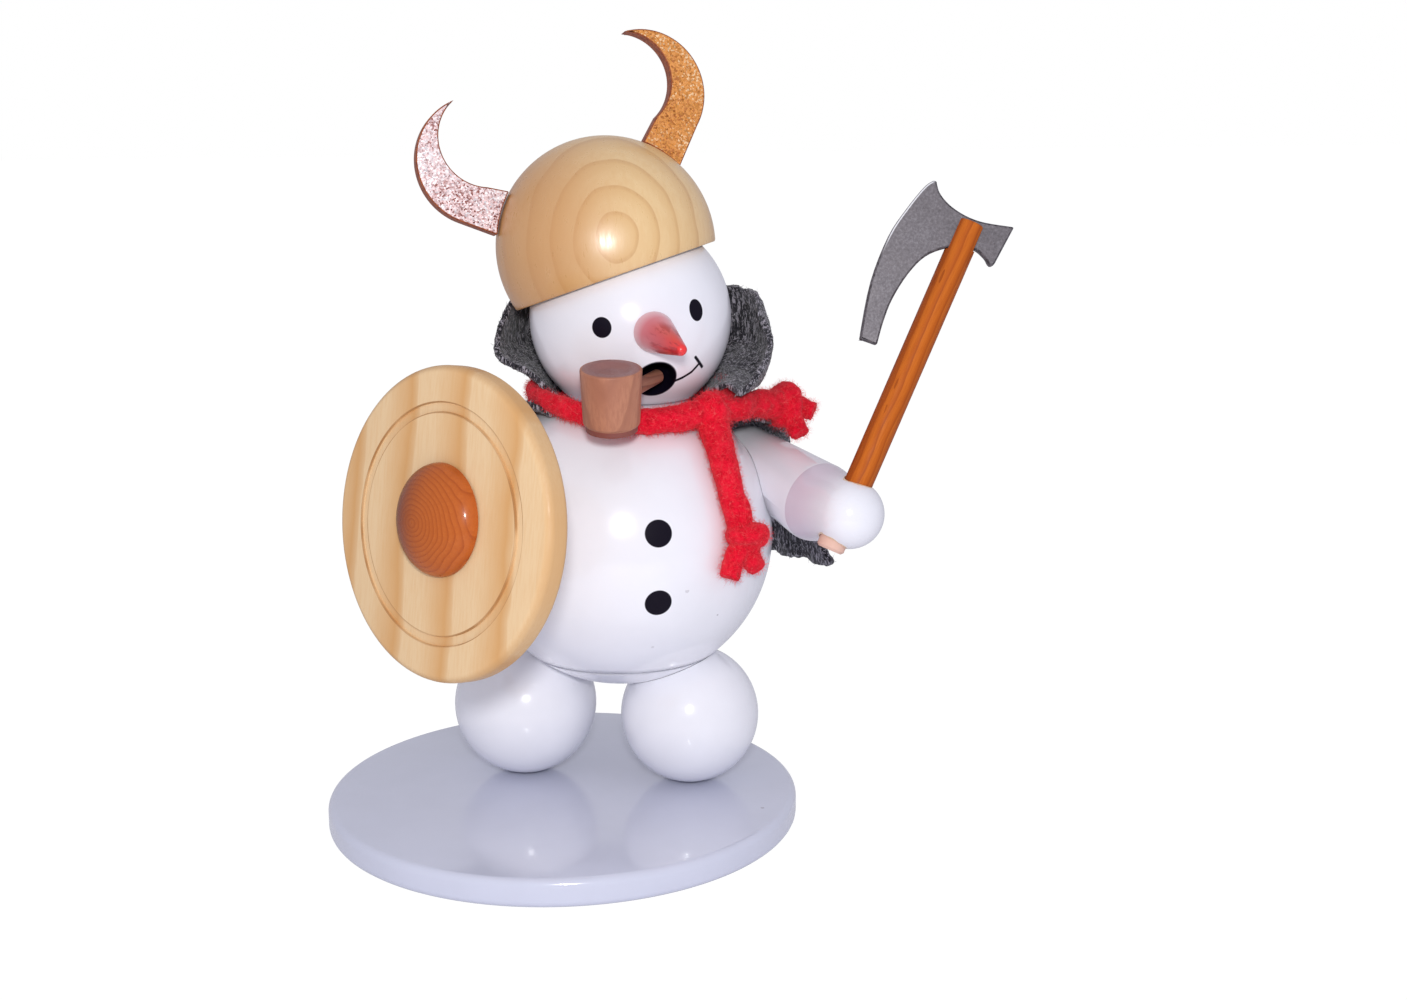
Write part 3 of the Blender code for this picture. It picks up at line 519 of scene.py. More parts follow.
def add_point(name, place):
    """A new piece of one point, left in edit mode, from which a shape is extruded."""
    deselect()
    bpy.ops.mesh.primitive_plane_add(size=0.002, location=(0, 0, 0))
    piece = bpy.context.active_object
    piece.name = piece.data.name = name
    bpy.ops.object.mode_set(mode="EDIT")
    bpy.ops.mesh.select_all(action="SELECT")
    bpy.ops.mesh.merge(type="CENTER")
    bpy.ops.transform.translate(value=place)
    return piece


def extrude_along(points):
    for start, end in zip(points, points[1:]):
        bpy.ops.mesh.extrude_region_move(TRANSFORM_OT_translate={"value": end - start})


def merge_doubles():
    bpy.ops.mesh.select_all(action="SELECT")
    bpy.ops.mesh.remove_doubles(threshold=0.000002)


def clean_up(angle=40):
    """Merge doubles, turn faces outwards, and leave edit mode with smooth shading."""
    merge_doubles()
    bpy.ops.mesh.normals_make_consistent(inside=False)
    bpy.ops.object.mode_set(mode="OBJECT")
    bpy.ops.object.shade_smooth_by_angle(angle=radians(angle))


def turned(name, profile, centre, up, steps=96, closed=False, angle=40):
    """A lathe piece: extrude the profile, given as radius and height, and spin it."""
    up = Vector(up).normalized()
    across = up.orthogonal().normalized()
    points = [centre + across * radius + up * height for radius, height in profile]
    piece = add_point(name, points[0])
    extrude_along(points + ([points[0]] if closed else []))
    bpy.ops.mesh.select_all(action="SELECT")
    bpy.ops.mesh.spin(steps=steps, angle=tau, center=centre, axis=up)
    clean_up(angle)
    return piece


def apply_modifier(piece, kind, **values):
    deselect()
    bpy.context.view_layer.objects.active = piece
    piece.select_set(True)
    modifier = piece.modifiers.new(kind.lower(), kind)
    for name, value in values.items():
        setattr(modifier, name, value)
    bpy.ops.object.modifier_apply(modifier=modifier.name)
    return piece


def cut(piece, tool):
    """Cut a tool out of a piece, and remove the tool."""
    apply_modifier(piece, "BOOLEAN", object=tool, operation="DIFFERENCE", solver="EXACT")
    bpy.data.objects.remove(tool)
    bpy.ops.object.shade_smooth_by_angle(angle=radians(40))


def ball_tool(centre, radius):
    deselect()
    bpy.ops.mesh.primitive_uv_sphere_add(segments=128, ring_count=64, radius=radius, location=centre)
    return bpy.context.active_object


def track(axis):
    return Vector(axis).to_track_quat("Z", "Y").to_euler()


def rod_tool(start, axis, radius, length):
    deselect()
    bpy.ops.mesh.primitive_cylinder_add(vertices=64, radius=radius, depth=length, rotation=track(axis),
                                        location=start + Vector(axis).normalized() * length / 2)
    return bpy.context.active_object


def plate(name, outline, thickness, centre, across, up, rim, edge):
    """A flat piece: draw its outline, fill it, thicken it and round its rim, which has its own finish."""
    facing = across.cross(up).normalized()
    points = [centre + across * x + up * y - facing * (thickness / 2) for x, y in outline]
    piece = add_point(name, points[0])
    extrude_along(points + [points[0]])
    merge_doubles()
    bpy.ops.mesh.edge_face_add()
    bpy.ops.mesh.extrude_region_move(TRANSFORM_OT_translate={"value": facing * thickness})
    clean_up(30)
    apply_modifier(piece, "BEVEL", width=rim, segments=3, limit_method="ANGLE", angle_limit=radians(50),
                   use_clamp_overlap=False)
    bpy.ops.object.shade_smooth_by_angle(angle=radians(35))
    for _ in ("face", "rim"):
        piece.data.materials.append(edge)
    for face in piece.data.polygons:
        face.material_index = int(abs(face.normal.dot(facing)) < FACE_TILT)
    return piece


def dress(piece, material, slot, *nodes):
    """Give a piece its finish and its body, and hide the solids that it stands for."""
    if piece.data.materials:
        piece.data.materials[0] = material
    else:
        piece.data.materials.append(material)
    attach(piece, "root")
    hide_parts(*nodes)
    return piece


# Turned and painted pieces

def make_base(paint):
    radius, thick, edge = 0.0414, 0.0049, 0.0013
    profile = [(0, thick), (radius * 0.5, thick)] + arc((radius - edge, thick - edge), edge, 90, 0, 8)
    profile += arc((radius - edge, edge), edge, 0, -90, 6) + [(0, 0)]
    dress(turned("base_board", profile, Vector(), UP, 160), paint, "white_paint", "base")


def make_feet(paint):
    middle, axis, apart, flat_radius = Vector((0.0091, 0.0036, FLOOR)), Vector((0.887, -0.4617, 0)), 0.0303, 0.0027
    for side, name, radius in ((-1, "right", 0.0128), (1, "left", 0.0123)):
        flat = leg(radius, flat_radius)
        centre = middle + UP * flat + axis * (side * apart / 2)
        profile = arc((0, 0), radius, 90, -angle_at(radius, flat_radius), 36) + [(0, -flat)]
        foot = turned("foot_ball_" + name, profile, centre, UP)
        cut(foot, ball_tool(BODY, BODY_RADIUS + SEAT))
        dress(foot, paint, "white_paint", "foot_" + name)


def make_lower_body(paint):
    top = -SEAM_DROP - GAP / 2
    rim = leg(BODY_RADIUS, top)
    spigot, raised, dish = CHAMBER_RADIUS - 0.0004, top + 0.0030, 0.0010
    profile = [(0, raised - dish), (0.0075, raised - dish), (0.0085, raised)]
    profile += arc((spigot - SEAM_EDGE, raised - SEAM_EDGE), SEAM_EDGE, 90, 0, 4)
    profile += [(spigot, top), (rim - SEAM_EDGE * 2, top)]
    profile += arc((0, 0), BODY_RADIUS, -angle_at(BODY_RADIUS, rim - SEAM_EDGE / 2),
                   -angle_at(BODY_RADIUS, LOWER_FLAT_RADIUS), 12)
    profile += [(0, -leg(BODY_RADIUS, LOWER_FLAT_RADIUS))]
    dress(turned("lower_body_cap", profile, BODY, UP, 128), paint, "white_paint", "lower_body")


def make_upper_body(paint):
    bottom = -SEAM_DROP + GAP / 2
    rim = leg(BODY_RADIUS, bottom)
    profile = arc((0, 0), BODY_RADIUS, angle_at(BODY_RADIUS, NECK_RADIUS),
                  -angle_at(BODY_RADIUS, rim + SEAM_EDGE / 2), 44)
    profile += arc((rim - SEAM_EDGE / 2, bottom + SEAM_EDGE / 2), SEAM_EDGE / 2, -20, -90, 3)
    profile += [(CHAMBER_RADIUS, bottom)]
    profile += arc((CHANNEL_RADIUS, CHAMBER_SHOULDER), CHAMBER_RADIUS - CHANNEL_RADIUS, 0, 90, 12)
    profile += [(CHANNEL_RADIUS, leg(BODY_RADIUS, NECK_RADIUS))]
    piece = turned("upper_body_ball", profile, BODY, UP, 128, closed=True)
    dress(piece, paint, "white_paint", "upper_body")


def make_head(paint):
    neck = leg(HEAD_RADIUS, NECK_RADIUS)
    profile = arc((0, 0), HEAD_RADIUS, 90, -angle_at(HEAD_RADIUS, NECK_RADIUS), 44)
    profile += [(CHANNEL_RADIUS, -neck), (CHANNEL_RADIUS, 0), (0, CHANNEL_RADIUS / 2)]
    head = turned("head_ball", profile, HEAD, UP, 128)
    cut(head, rod_tool(HEAD, direction(*MOUTH), 0.0034, HEAD_RADIUS * 1.2))
    dress(head, paint, "white_paint", "head")


def make_nose():
    tip, length, root = 0.0010, 0.0120, 0.0034
    profile = arc((0, length), tip, 90, 12, 8) + [(root * 0.66, length * 0.5), (root, 0.0002)]
    profile += [(root, -tip), (0, -tip)]
    nose = turned("nose_cone", profile, NOSE_ROOT, NOSE_AXIS, 64)
    cut(nose, ball_tool(HEAD, HEAD_RADIUS + SEAT))
    dress(nose, nose_material(), "pink_paint", "nose")


def make_helmet():
    inside = HELMET_RADIUS - HELMET_WALL
    rim, lip = leg(HELMET_RADIUS, HELMET_DROP), 0.00025
    profile = arc((0, 0), HELMET_RADIUS, 90, -angle_at(HELMET_RADIUS, rim) + 1.0, 44)
    profile += arc((rim - lip, lip - HELMET_DROP), lip, -20, -90, 3)
    profile += arc((0, 0), inside, -angle_at(inside, leg(inside, HELMET_DROP)), 90, 30)
    helmet = turned("helmet_cap", profile, HELMET, HELMET_UP, 128)
    facing = direction(-9, 8)

    def darker_side(at, colour):
        """The wood is browner towards the figure's right."""
        toward = (at - HELMET).dot((-0.95, -0.3, 0.1))
        return mix(toward.spread(0.003, 0.018, 0.0, 0.75), colour, (0.58, 0.27, 0.085))
    pale = wood("helmet_wood", HELMET + facing * HELMET_RADIUS, SIDE, facing, (0.0036, 0.0008, 0.20),
                ((0.84, 0.585, 0.29), (0.77, 0.495, 0.215), (0.53, 0.26, 0.075)), grain=(130, 26, 130),
                round_grain=0.82, pore=0.45, line_share=0.5, roughness=0.33, shine=1.0, tint=darker_side)
    dress(helmet, pale, "pale_wood", "helmet")


def horn_outline(turn, shift):
    """A crescent whose root follows the helmet, turned about the helmet's centre."""
    outer_radius, inner_radius = 0.0108, 0.0082
    outer = Vector((0.0159, 0.0203)) + Vector(shift)
    inner = Vector((0.0135, 0.0235)) + Vector(shift)
    apart = inner - outer
    reach = outer_radius ** 2 + apart.length_squared - inner_radius ** 2
    tip = atan2(apart.y, apart.x) - acos(reach / (2 * outer_radius * apart.length))
    point = outer + Vector((cos(tip), sin(tip))) * outer_radius - inner
    outline = arc(outer, outer_radius, -52, degrees(tip), 40)
    outline += arc(inner, inner_radius, degrees(atan2(point.y, point.x)), -70, 34)[1:]
    outline += arc((0, 0), HELMET_RADIUS + GAP, 47, 24, 10)
    c, s = cos(radians(turn)), sin(radians(turn))
    return [(x * c - y * s, x * s + y * c) for x, y in outline]


def make_horns():
    across = (SIDE - HELMET_UP * HELMET_UP.x).normalized()
    copper = glitter_material("copper_glitter", (0.50, 0.15, 0.02), (0.84, 0.34, 0.07), (1.0, 0.66, 0.36), 0.12)
    # The right horn's glitter is a painted-lit copy of the copper: paler and pinker, as the horn that faces the
    # flash looks.
    flash_lit_glitter = glitter_material("copper_glitter_painted_lit", (0.28, 0.07, 0.05), (0.84, 0.62, 0.61),
                               (1.0, 0.96, 0.96), 0.48)
    edge = rim_material("horn_edge", (0.22, 0.045, 0.015), (0.40, 0.11, 0.035), 0.0)
    for side, name, turn, shift, finish in ((1, "left", 3.5, (0.0008, 0.0014), copper),
                                            (-1, "right", 0, (0, 0), flash_lit_glitter)):
        outline = [(side * x, y) for x, y in horn_outline(turn, shift)]
        horn = plate("horn_plate_" + name, outline, 0.0028, HELMET, across, HELMET_UP, 0.00022, edge)
        dress(horn, finish, "copper_glitter", "horn_" + name)


def make_pipe():
    height, top, foot, step, edge = 0.0094, 0.0050, 0.0042, 0.0010, 0.0002
    stem, rounding = 0.0012, 0.0004

    def top_and_foot_tones(at, colour):
        """The bowl's top is mauver, and its foot is darker and redder."""
        off = at - BOWL_TOP
        along = off.dot(BOWL_UP)
        upper = off.reach(BOWL_UP).spread(0.0045, 0.0048, 1.0, 0.0) * along.spread(-0.0012, -0.0010)
        colour = mix(upper * 0.85, colour, (0.27, 0.13, 0.13))
        return mix(along.spread(-height - 0.0001, -height, 0.85, 0.0), colour, (0.20, 0.055, 0.050))
    mauve = wood("pipe_wood", BOWL_TOP + direction(60, 0) * 0.014, UP, direction(-30, 0), (0.0026, 0.0016, 0.3),
                 ((0.49, 0.215, 0.130), (0.41, 0.170, 0.105), (0.32, 0.125, 0.080)), grain=(30, 200, 200),
                 pore=0.8, tint=top_and_foot_tones)
    profile = [(0, -0.0007), (0.0009, -0.0005), (0.0013, -0.0006), (0.0026, -0.0005), (0.0033, -0.0001),
               (0.0036, 0)]
    profile += arc((top - GAP, -GAP), GAP, 90, 0, 5)
    profile += arc((0.0046 - 2 * GAP, 2 * GAP - height), 2 * GAP, 0, -70, 5)
    profile += [(foot, -height - GAP)] + arc((foot - edge, edge - height - step), edge, 0, -90, 3)
    profile += [(0, -height - step)]
    bowl = turned("pipe_bowl_turned", profile, BOWL_TOP, BOWL_UP, 96)
    start = BOWL_TOP - BOWL_UP * 0.0056
    end = HEAD + direction(3.5, -31.5) * (HEAD_RADIUS - 0.0012)
    along = (end - start).normalized()
    seat = start + along * 0.0026
    cut(bowl, rod_tool(seat, along, stem + GAP, 0.0050))
    dress(bowl, mauve, "mauve_wood", "pipe_bowl")
    length = (end - seat).length
    profile = [(0, length), (0.0007, length)] + arc((stem - rounding, length - rounding), rounding, 80, 0, 4)
    profile += [(stem, GAP), (0, GAP)]
    stem_wood = wood("pipe_stem_wood", seat, along, UP, (0.0012, 0.0006, 0.3),
                     ((0.32, 0.135, 0.085), (0.24, 0.095, 0.062), (0.15, 0.055, 0.038)), grain=(24, 260, 260))
    dress(turned("pipe_stem_rod", profile, seat, along, 40), stem_wood, "mauve_wood", "pipe_stem")


ARM_REACH = 0.0310
ARM_HAND = 0.0059
ARM_SHOULDER = 0.0057
CUFF_SAG = 0.00045
SHOULDER_LIFT = 0.0005


def arm_profile():
    """From the mitten's round end, over its widening, to the sleeve's round shoulder."""
    profile = arc((0, ARM_REACH), ARM_HAND, 90, 0, 20)
    profile += [(0.0059, 0.0292), (0.00598, 0.0276), (0.0062, 0.0260), (0.00652, 0.0245), (0.00683, 0.0232),
                (0.00698, 0.0222), (0.0070, 0.0212)]
    return profile + arc((0, 0), ARM_SHOULDER, 0, -90, 14)


def bow(arm, shoulder, axis):
    """The turned arm isn't quite straight: it sags near the cuff and lifts at the shoulder."""
    for vertex in arm.data.vertices:
        along = (vertex.co - shoulder).dot(axis)
        share = held((ARM_REACH - along) / 0.0220)
        lifted = held((0.0090 - along) / 0.0120)
        sag = CUFF_SAG * (1 - cos(2 * pi * share))
        vertex.co.z -= sag - SHOULDER_LIFT * lifted * lifted * (3 - 2 * lifted)


def make_arms():
    """Both arms: the left one is bored for the axe, and the right one is cut flat behind the shield."""
    bore_start, bore_length = HANDLE_PLACE - HANDLE_UP * 0.0118, 0.0236
    bore = (bore_start, HANDLE_UP, HANDLE_RADIUS + GAP * 0.5, bore_length)
    flat = (SHIELD_BACK - SHIELD_OUT * GAP, SHIELD_OUT, SHIELD_RADIUS, 0.0086)
    for side, name, hand, tool in ((1, "left", HAND_LEFT, bore), (-1, "right", HAND_RIGHT, flat)):
        axis = Vector((side * ARM.x, ARM.y, ARM.z))
        shoulder = BODY + Vector((side * SHOULDER.x, SHOULDER.y, SHOULDER.z))
        arm = turned(f"arm_{name}_turned", arm_profile(), shoulder, axis, 96)
        bow(arm, shoulder, axis)
        cut(arm, ball_tool(BODY, BODY_RADIUS + SEAT))
        cut(arm, rod_tool(*tool))
        dress(arm, arm_material(f"arm_{name}_paint", hand, axis), "white_paint", "arm_" + name)


def blade_outline():
    """A bearded axe head, in mm; x runs away from the edge, y along the handle.

    Each run is a smooth curve, and the runs meet in corners."""
    runs = (((6.8, 2.1), (2.1, 0.86), (-0.85, 0.59), (-3.46, 0.89), (-5.4, 1.5), (-7.0, 2.44), (-7.95, 3.55)),
            ((-7.95, 3.55), (-8.15, 3.85), (-8.5, 3.88), (-8.9, 3.6), (-9.75, 2.1), (-10.9, -1.95),
             (-11.9, -7.6), (-11.6, -15.7), (-9.7, -24.5), (-9.24, -25.4)), ((-9.24, -25.4), (-6.44, -25.2)),
            ((-6.44, -25.2), (-7.0, -21.2), (-7.14, -17.1), (-6.39, -12.2), (-4.84, -8.2), (-2.26, -5.6),
             (0.4, -4.4), (2.39, -4.0), (4.3, -4.6), (5.2, -5.25), (5.7, -5.45), (6.1, -5.2), (6.25, -4.7)),
            ((6.25, -4.7), (6.8, 2.1)))
    outline = []
    for run in runs:
        outline += smooth_points([Vector(place) / 1000 for place in run], 4)[:-1]
    return [tuple(place) for place in outline]


def make_axe():
    foot = HANDLE_PLACE - HANDLE_UP * 0.0065
    length, radius, end = 0.0598, HANDLE_RADIUS, 0.0004
    top = foot + HANDLE_UP * length
    profile = [(0, length), (radius - 0.0006, length)] + arc((radius - end, length - end), end, 75, 0, 4)
    profile += [(radius, end), (radius - end, 0), (0, 0)]
    handle = turned("axe_handle_dowel", profile, foot, HANDLE_UP, 48)
    facing = direction(-22, 0)
    facing = (facing - HANDLE_UP * facing.dot(HANDLE_UP)).normalized()
    across = HANDLE_UP.cross(facing)
    deselect()
    bpy.ops.mesh.primitive_cube_add(size=1, location=top)
    slot = bpy.context.active_object
    lean = radians(17)
    slot_across = across * cos(lean) + HANDLE_UP * sin(lean)
    slot.matrix_world = (Matrix.Translation(top)
                         @ axes(slot_across, facing.cross(slot_across), facing).to_4x4()
                         @ Matrix.Diagonal((0.0100, 0.0097, 0.0026, 1)))
    cut(handle, slot)

    def bare_foot_and_shaded_sides(at, colour):
        """The handle's foot is unvarnished, and its sides carry painted shade, darker than its front."""
        # Painted shade: the colour darkens towards the sides of the round handle.
        side = (at - foot).dot(across).math("ABSOLUTE")
        colour = mix(side.spread(0.0010, radius, 0.0, 0.6), colour, (0.30, 0.055, 0.012))
        along = (at - HAND_LEFT).dot(HANDLE_UP)
        return mix(along.spread(0.0, 0.0002, 1.0, 0.0), colour, (0.80, 0.52, 0.42))
    orange = wood("axe_varnish", foot, facing, across, (0.0016, 0.0008, 0.25),
                  ((0.60, 0.150, 0.016), (0.47, 0.100, 0.010), (0.26, 0.045, 0.006)), grain=(260, 24, 260),
                  roughness=0.5, pore=0.55, fleck_cover=0.16, shine=0.12, tint=bare_foot_and_shaded_sides)
    dress(handle, orange, "orange_varnish", "axe_handle")

    def bevel_highlight(at):
        """A painted highlight on the upper part of the cutting edge, on the rim faces that turn to the front."""
        off = at - top
        low = off.dot(HANDLE_UP).spread(-0.0120, -0.0060)
        flat = node(at.tree, "NewGeometry", output="Normal").dot(facing).spread(0.60, 0.75)
        return low * off.dot(across).spread(-0.0088, -0.0082, 1.0, 0.0) * flat
    rim = rim_material("blade_rim", (0.055, 0.048, 0.054), (0.16, 0.145, 0.158), 0.2, bevel_highlight)
    blade = plate("axe_blade_plate", blade_outline(), 0.0020, top, across, HANDLE_UP, 0.00032, rim)
    dress(blade, silver_material(), "silver_paint", "axe_blade")


def make_shield():
    radius, front, edge, groove, half = SHIELD_RADIUS, 0.0043, 0.0012, 0.0178, 0.0008
    slope, floor = 0.00015, front - 0.00045
    profile = [(0, front), (groove - half, front), (groove - half + slope, floor)]
    profile += [(groove + half - slope, floor), (groove + half, front)]
    profile += arc((radius - edge, front - edge), edge, 90, 0, 8)
    profile += arc((radius - edge, edge), edge, 0, -90, 8) + [(0, 0)]

    def groove_and_rim_shade(at, colour):
        """Painted shade: a brown line at each shoulder of the groove, and a browner band on the rounded rim."""
        reach = (at - SHIELD_BACK).reach(SHIELD_OUT)
        strength = cloudy(at, 120.0).spread(0.35, 0.65, 0.35, 0.95)
        # Painted shade along both shoulders of the groove.
        for place, half_line in ((groove - half, 0.00018), (groove + half, 0.00015)):
            mark = (reach - place).math("ABSOLUTE").spread(half_line * 0.4, half_line, 1.0, 0.0)
            colour = mix(mark * strength, colour, (0.42, 0.20, 0.07))
        # Painted shade on the rounded rim, where the edge turns away.
        return mix(reach.spread(radius - edge, radius - 0.0002, 0.0, 0.5), colour, (0.52, 0.29, 0.12))
    pine = wood("shield_pine", SHIELD_BACK + SHIELD_ACROSS * 0.0052, SHIELD_UP, SHIELD_ACROSS,
                (0.0118, 0.0014, 0.25), ((0.83, 0.59, 0.335), (0.70, 0.385, 0.150), (0.62, 0.31, 0.10)),
                grain=(22, 260, 260), pore=0.22, line_share=0.25, tint=groove_and_rim_shade)
    dress(turned("shield_disc", profile, SHIELD_BACK, SHIELD_OUT, 128), pine, "pine", "shield")
    boss_radius, boss_height = 0.0087, 0.0045
    dome = [(boss_radius * x, boss_height * z) for x, z in arc((0, 0), 1, 90, 0, 18)]
    seat = SHIELD_BACK + SHIELD_OUT * (front + GAP) + SHIELD_UP * 0.0008 + SHIELD_ACROSS * 0.0006

    def shade_side(at, colour):
        """The boss is darker on its side away from the flash."""
        toward = (at - seat).dot(SHIELD_ACROSS)
        return mix(toward.spread(-0.0092, 0.0015, 1.0, 0.0), colour, (0.13, 0.022, 0.006))
    stain = wood("boss_varnish", seat - SHIELD_ACROSS * 0.0012 - SHIELD_UP * 0.0006, SHIELD_UP, SHIELD_OUT,
                 (0.00070, 0.0016, 0.3), ((0.50, 0.122, 0.022), (0.44, 0.098, 0.016), (0.31, 0.056, 0.010)),
                 grain=(150, 150, 150), round_grain=0.85, roughness=0.32, coat=0.2, pore=0.6, line_share=0.6,
                 shine=0.12, tint=shade_side)
    boss = turned("shield_boss_dome", dome + [(0, 0)], seat, SHIELD_OUT, 80)
    dress(boss, stain, "orange_varnish", "shield_boss")


# Textiles

RING_RADIUS = 0.01782
RING_HEIGHT = 0.02555
SCARF_RADIUS = 0.0020
CAPE_THICKNESS = 0.0010
HEAD_LIFT = HEAD.z - BODY.z


def around_neck(longitude, radius, height):
    """A point at a distance from the neck's axis, and above the body's centre."""
    lon = radians(longitude)
    return Vector((NECK.x + radius * sin(lon), NECK.y - radius * cos(lon), BODY.z + height))


def over_ball(radius, rise, latitude, lift=0.0):
    """Radius and height of a row that lies above a ball, seen from the body's centre."""
    lat = radians(latitude)
    return (radius + rise) * cos(lat), (radius + rise) * sin(lat) + lift


def squeeze(longitude):
    """How far the band is squeezed in at the figure's right, from 0 to 1."""
    return max(0, -sin(radians(longitude))) ** 2


def ring_place(longitude):
    """Radius and height of the scarf's ring, which dips at the front."""
    dip = max(0, cos(radians(longitude))) ** 2
    return RING_RADIUS - 0.0021 * squeeze(longitude), RING_HEIGHT - 0.0026 * dip


def roll(name, points, radius, closed=False, taper=1.0, thin=None):
    """A soft roll of yarn along the points, as a closed mesh; thin gives a factor for each point."""
    piece = add_point(name, points[0])
    extrude_along(points + ([points[0]] if closed else []))
    merge_doubles()
    bpy.ops.object.mode_set(mode="OBJECT")
    bpy.ops.object.convert(target="CURVE")
    curve = bpy.context.active_object.data
    curve.bevel_depth = radius
    curve.bevel_resolution = 5
    curve.use_fill_caps = True
    line = curve.splines[0].points
    for i, point in enumerate(line):
        share = i / (len(line) - 1)
        uneven = 1.0 + 0.09 * noise.noise(Vector(point.co[:3]) * 260)
        point.radius = uneven * (1.0 + (taper - 1.0) * share) * (thin(Vector(point.co[:3])) if thin else 1.0)
    bpy.ops.object.convert(target="MESH")
    return bpy.context.active_object


def wrap(centre, axis, major, minor):
    """One turn of a knot: a ring of yarn about an axis."""
    deselect()
    bpy.ops.mesh.primitive_torus_add(location=centre, rotation=track(axis), major_radius=major,
                                     minor_radius=minor, major_segments=40, minor_segments=16)
    return bpy.context.active_object


def fuse(name, pieces, voxel):
    """Join overlapping rolls into one closed skin."""
    deselect()
    for piece in pieces:
        piece.select_set(True)
    bpy.context.view_layer.objects.active = pieces[0]
    bpy.ops.object.join()
    joined = bpy.context.active_object
    bpy.ops.object.transform_apply()
    joined.name = joined.data.name = name
    return apply_modifier(joined, "REMESH", mode="VOXEL", voxel_size=voxel, use_smooth_shade=True)


def roughen(piece, scale, strength, direction_of="NORMAL"):
    """Push the surface in and out with noise of a given grain, in metres."""
    cloud = bpy.data.textures.new("roughen", "CLOUDS")
    cloud.noise_scale = scale
    cloud.noise_depth = 2
    apply_modifier(piece, "DISPLACE", texture=cloud, texture_coords="LOCAL", strength=strength, mid_level=0.5,
                   direction=direction_of)
    bpy.data.textures.remove(cloud)


def mesh_piece(name, corners, faces):
    mesh = bpy.data.meshes.new(name)
    mesh.from_pydata(corners, [], faces)
    return link_new(name, mesh)


def fibres(name, source, count, length, width, lift):
    """Short curved fibres that start on a piece's surface, each a narrow ribbon of two faces."""
    corners, faces = [], []
    polygons = source.data.polygons
    for _ in range(count):
        face = polygons[random.randrange(len(polygons))]
        normal = face.normal.copy()
        lean = Vector([random.uniform(-1, 1) for _ in range(3)])
        lean = (lean - normal * lean.dot(normal)).normalized()
        swerve = normal.cross(lean) * random.uniform(-0.5, 0.5)
        reach = length * random.uniform(0.5, 1.5)
        rise = lift * random.uniform(0.2, 1.6)
        half = normal.cross(lean).normalized() * width / 2
        start = face.center - normal * width
        first = start + (lean * 0.5 + swerve * 0.5) * reach + normal * (rise * 0.8)
        last = start + (lean + swerve * 1.6) * reach + normal * rise
        n = len(corners)
        corners += [start - half, start + half, first - half, first + half, last]
        faces += [(n, n + 1, n + 3, n + 2), (n + 2, n + 3, n + 4)]
    return mesh_piece(name, corners, faces)


def make_scarf():
    """A felted band round the neck, knotted at the figure's left, with two knotted tails."""
    turns = [360 * i / 72 for i in range(72)]
    knot = around_neck(35, RING_RADIUS + 0.0008, RING_HEIGHT - 0.0017)
    lie = BODY_RADIUS + SCARF_RADIUS + 2 * GAP
    ways = ((34, 44), (30, 36), (28, 28), (27.5, 20), (28.5, 12))
    front = [knot] + [BODY + direction(*way) * lie for way in ways]
    back_ways = ((50, 48.5, 0.0046), (64, 47.0, 0.0055), (73, 43.5, 0.0068), (80, 39.0, 0.0088))
    back = [knot] + [around_neck(lon, *over_ball(BODY_RADIUS, rise, lat)) for lon, lat, rise in back_ways]
    front_knot = BODY + direction(29.3, 8.5) * (lie + 0.0008)
    back_knot = around_neck(81, *over_ball(BODY_RADIUS, 0.0092, 38.4))

    def thin(point):
        off = point - NECK
        return 1.04 - 0.32 * squeeze(degrees(atan2(off.x, -off.y)))
    ring = [around_neck(turn, *ring_place(turn)) for turn in turns]
    pieces = [roll("ring", ring, 0.0021, closed=True, thin=thin),
              roll("front", smooth_points(front, 6), 0.0026, taper=0.85),
              roll("back", smooth_points(back, 6), 0.0016, taper=1.75)]
    out = (knot - NECK).normalized()
    pieces += [wrap(knot + out * 0.0004, (0.9, 0.2, 0.25), 0.0018, 0.0015),
               wrap(knot, (0.5, 0.5, 0.9), 0.0020, 0.0014)]
    for centre, axis, size in ((front_knot, direction(28, 98), 0.0023),
                               (back_knot, Vector((0.8, 0.3, -0.3)), 0.0027)):
        pieces += [wrap(centre, axis, size, 0.0015),
                   wrap(centre - axis * 0.0004, axis + Vector((0.5, 0.3, 0.2)), size * 0.85, 0.0014),
                   wrap(centre, axis, 0.0012, 0.0016)]
    tips = [(front_knot, BODY + direction(25.5, 1.5) * (lie - 0.0003), BODY + direction(22.0, -5.0) * lie),
            (front_knot, BODY + direction(31.5, 1.0) * lie, BODY + direction(35.0, -3.6) * lie)]
    for end in (((82, 35.5), 0.0110, (80, 32.0), 0.0128), ((77, 34.5), 0.0088, (73, 29.8), 0.0086)):
        tips.append((back_knot, around_neck(end[0][0], *over_ball(BODY_RADIUS, end[1], end[0][1])),
                     around_neck(end[2][0], *over_ball(BODY_RADIUS, end[3], end[2][1]))))
    for i, route in enumerate(tips):
        pieces.append(roll(f"prong_{i}", smooth_points(route, 5), 0.0020, taper=0.85))
    scarf = fuse("scarf_wool", pieces, 0.00028)
    roughen(scarf, 0.0030, 0.0007)
    roughen(scarf, 0.0008, 0.00025)
    fuzz = fibres("scarf_fuzz", scarf, 20000, 0.0012, 0.000035, 0.00050)
    dress(scarf, wool_material(), "red_wool", "scarf")
    dress(fuzz, fibre_material("red_fibres", ((0.78, 0.008, 0.03), (0.92, 0.03, 0.05), (0.95, 0.16, 0.16))),
          "red_wool", "scarf")


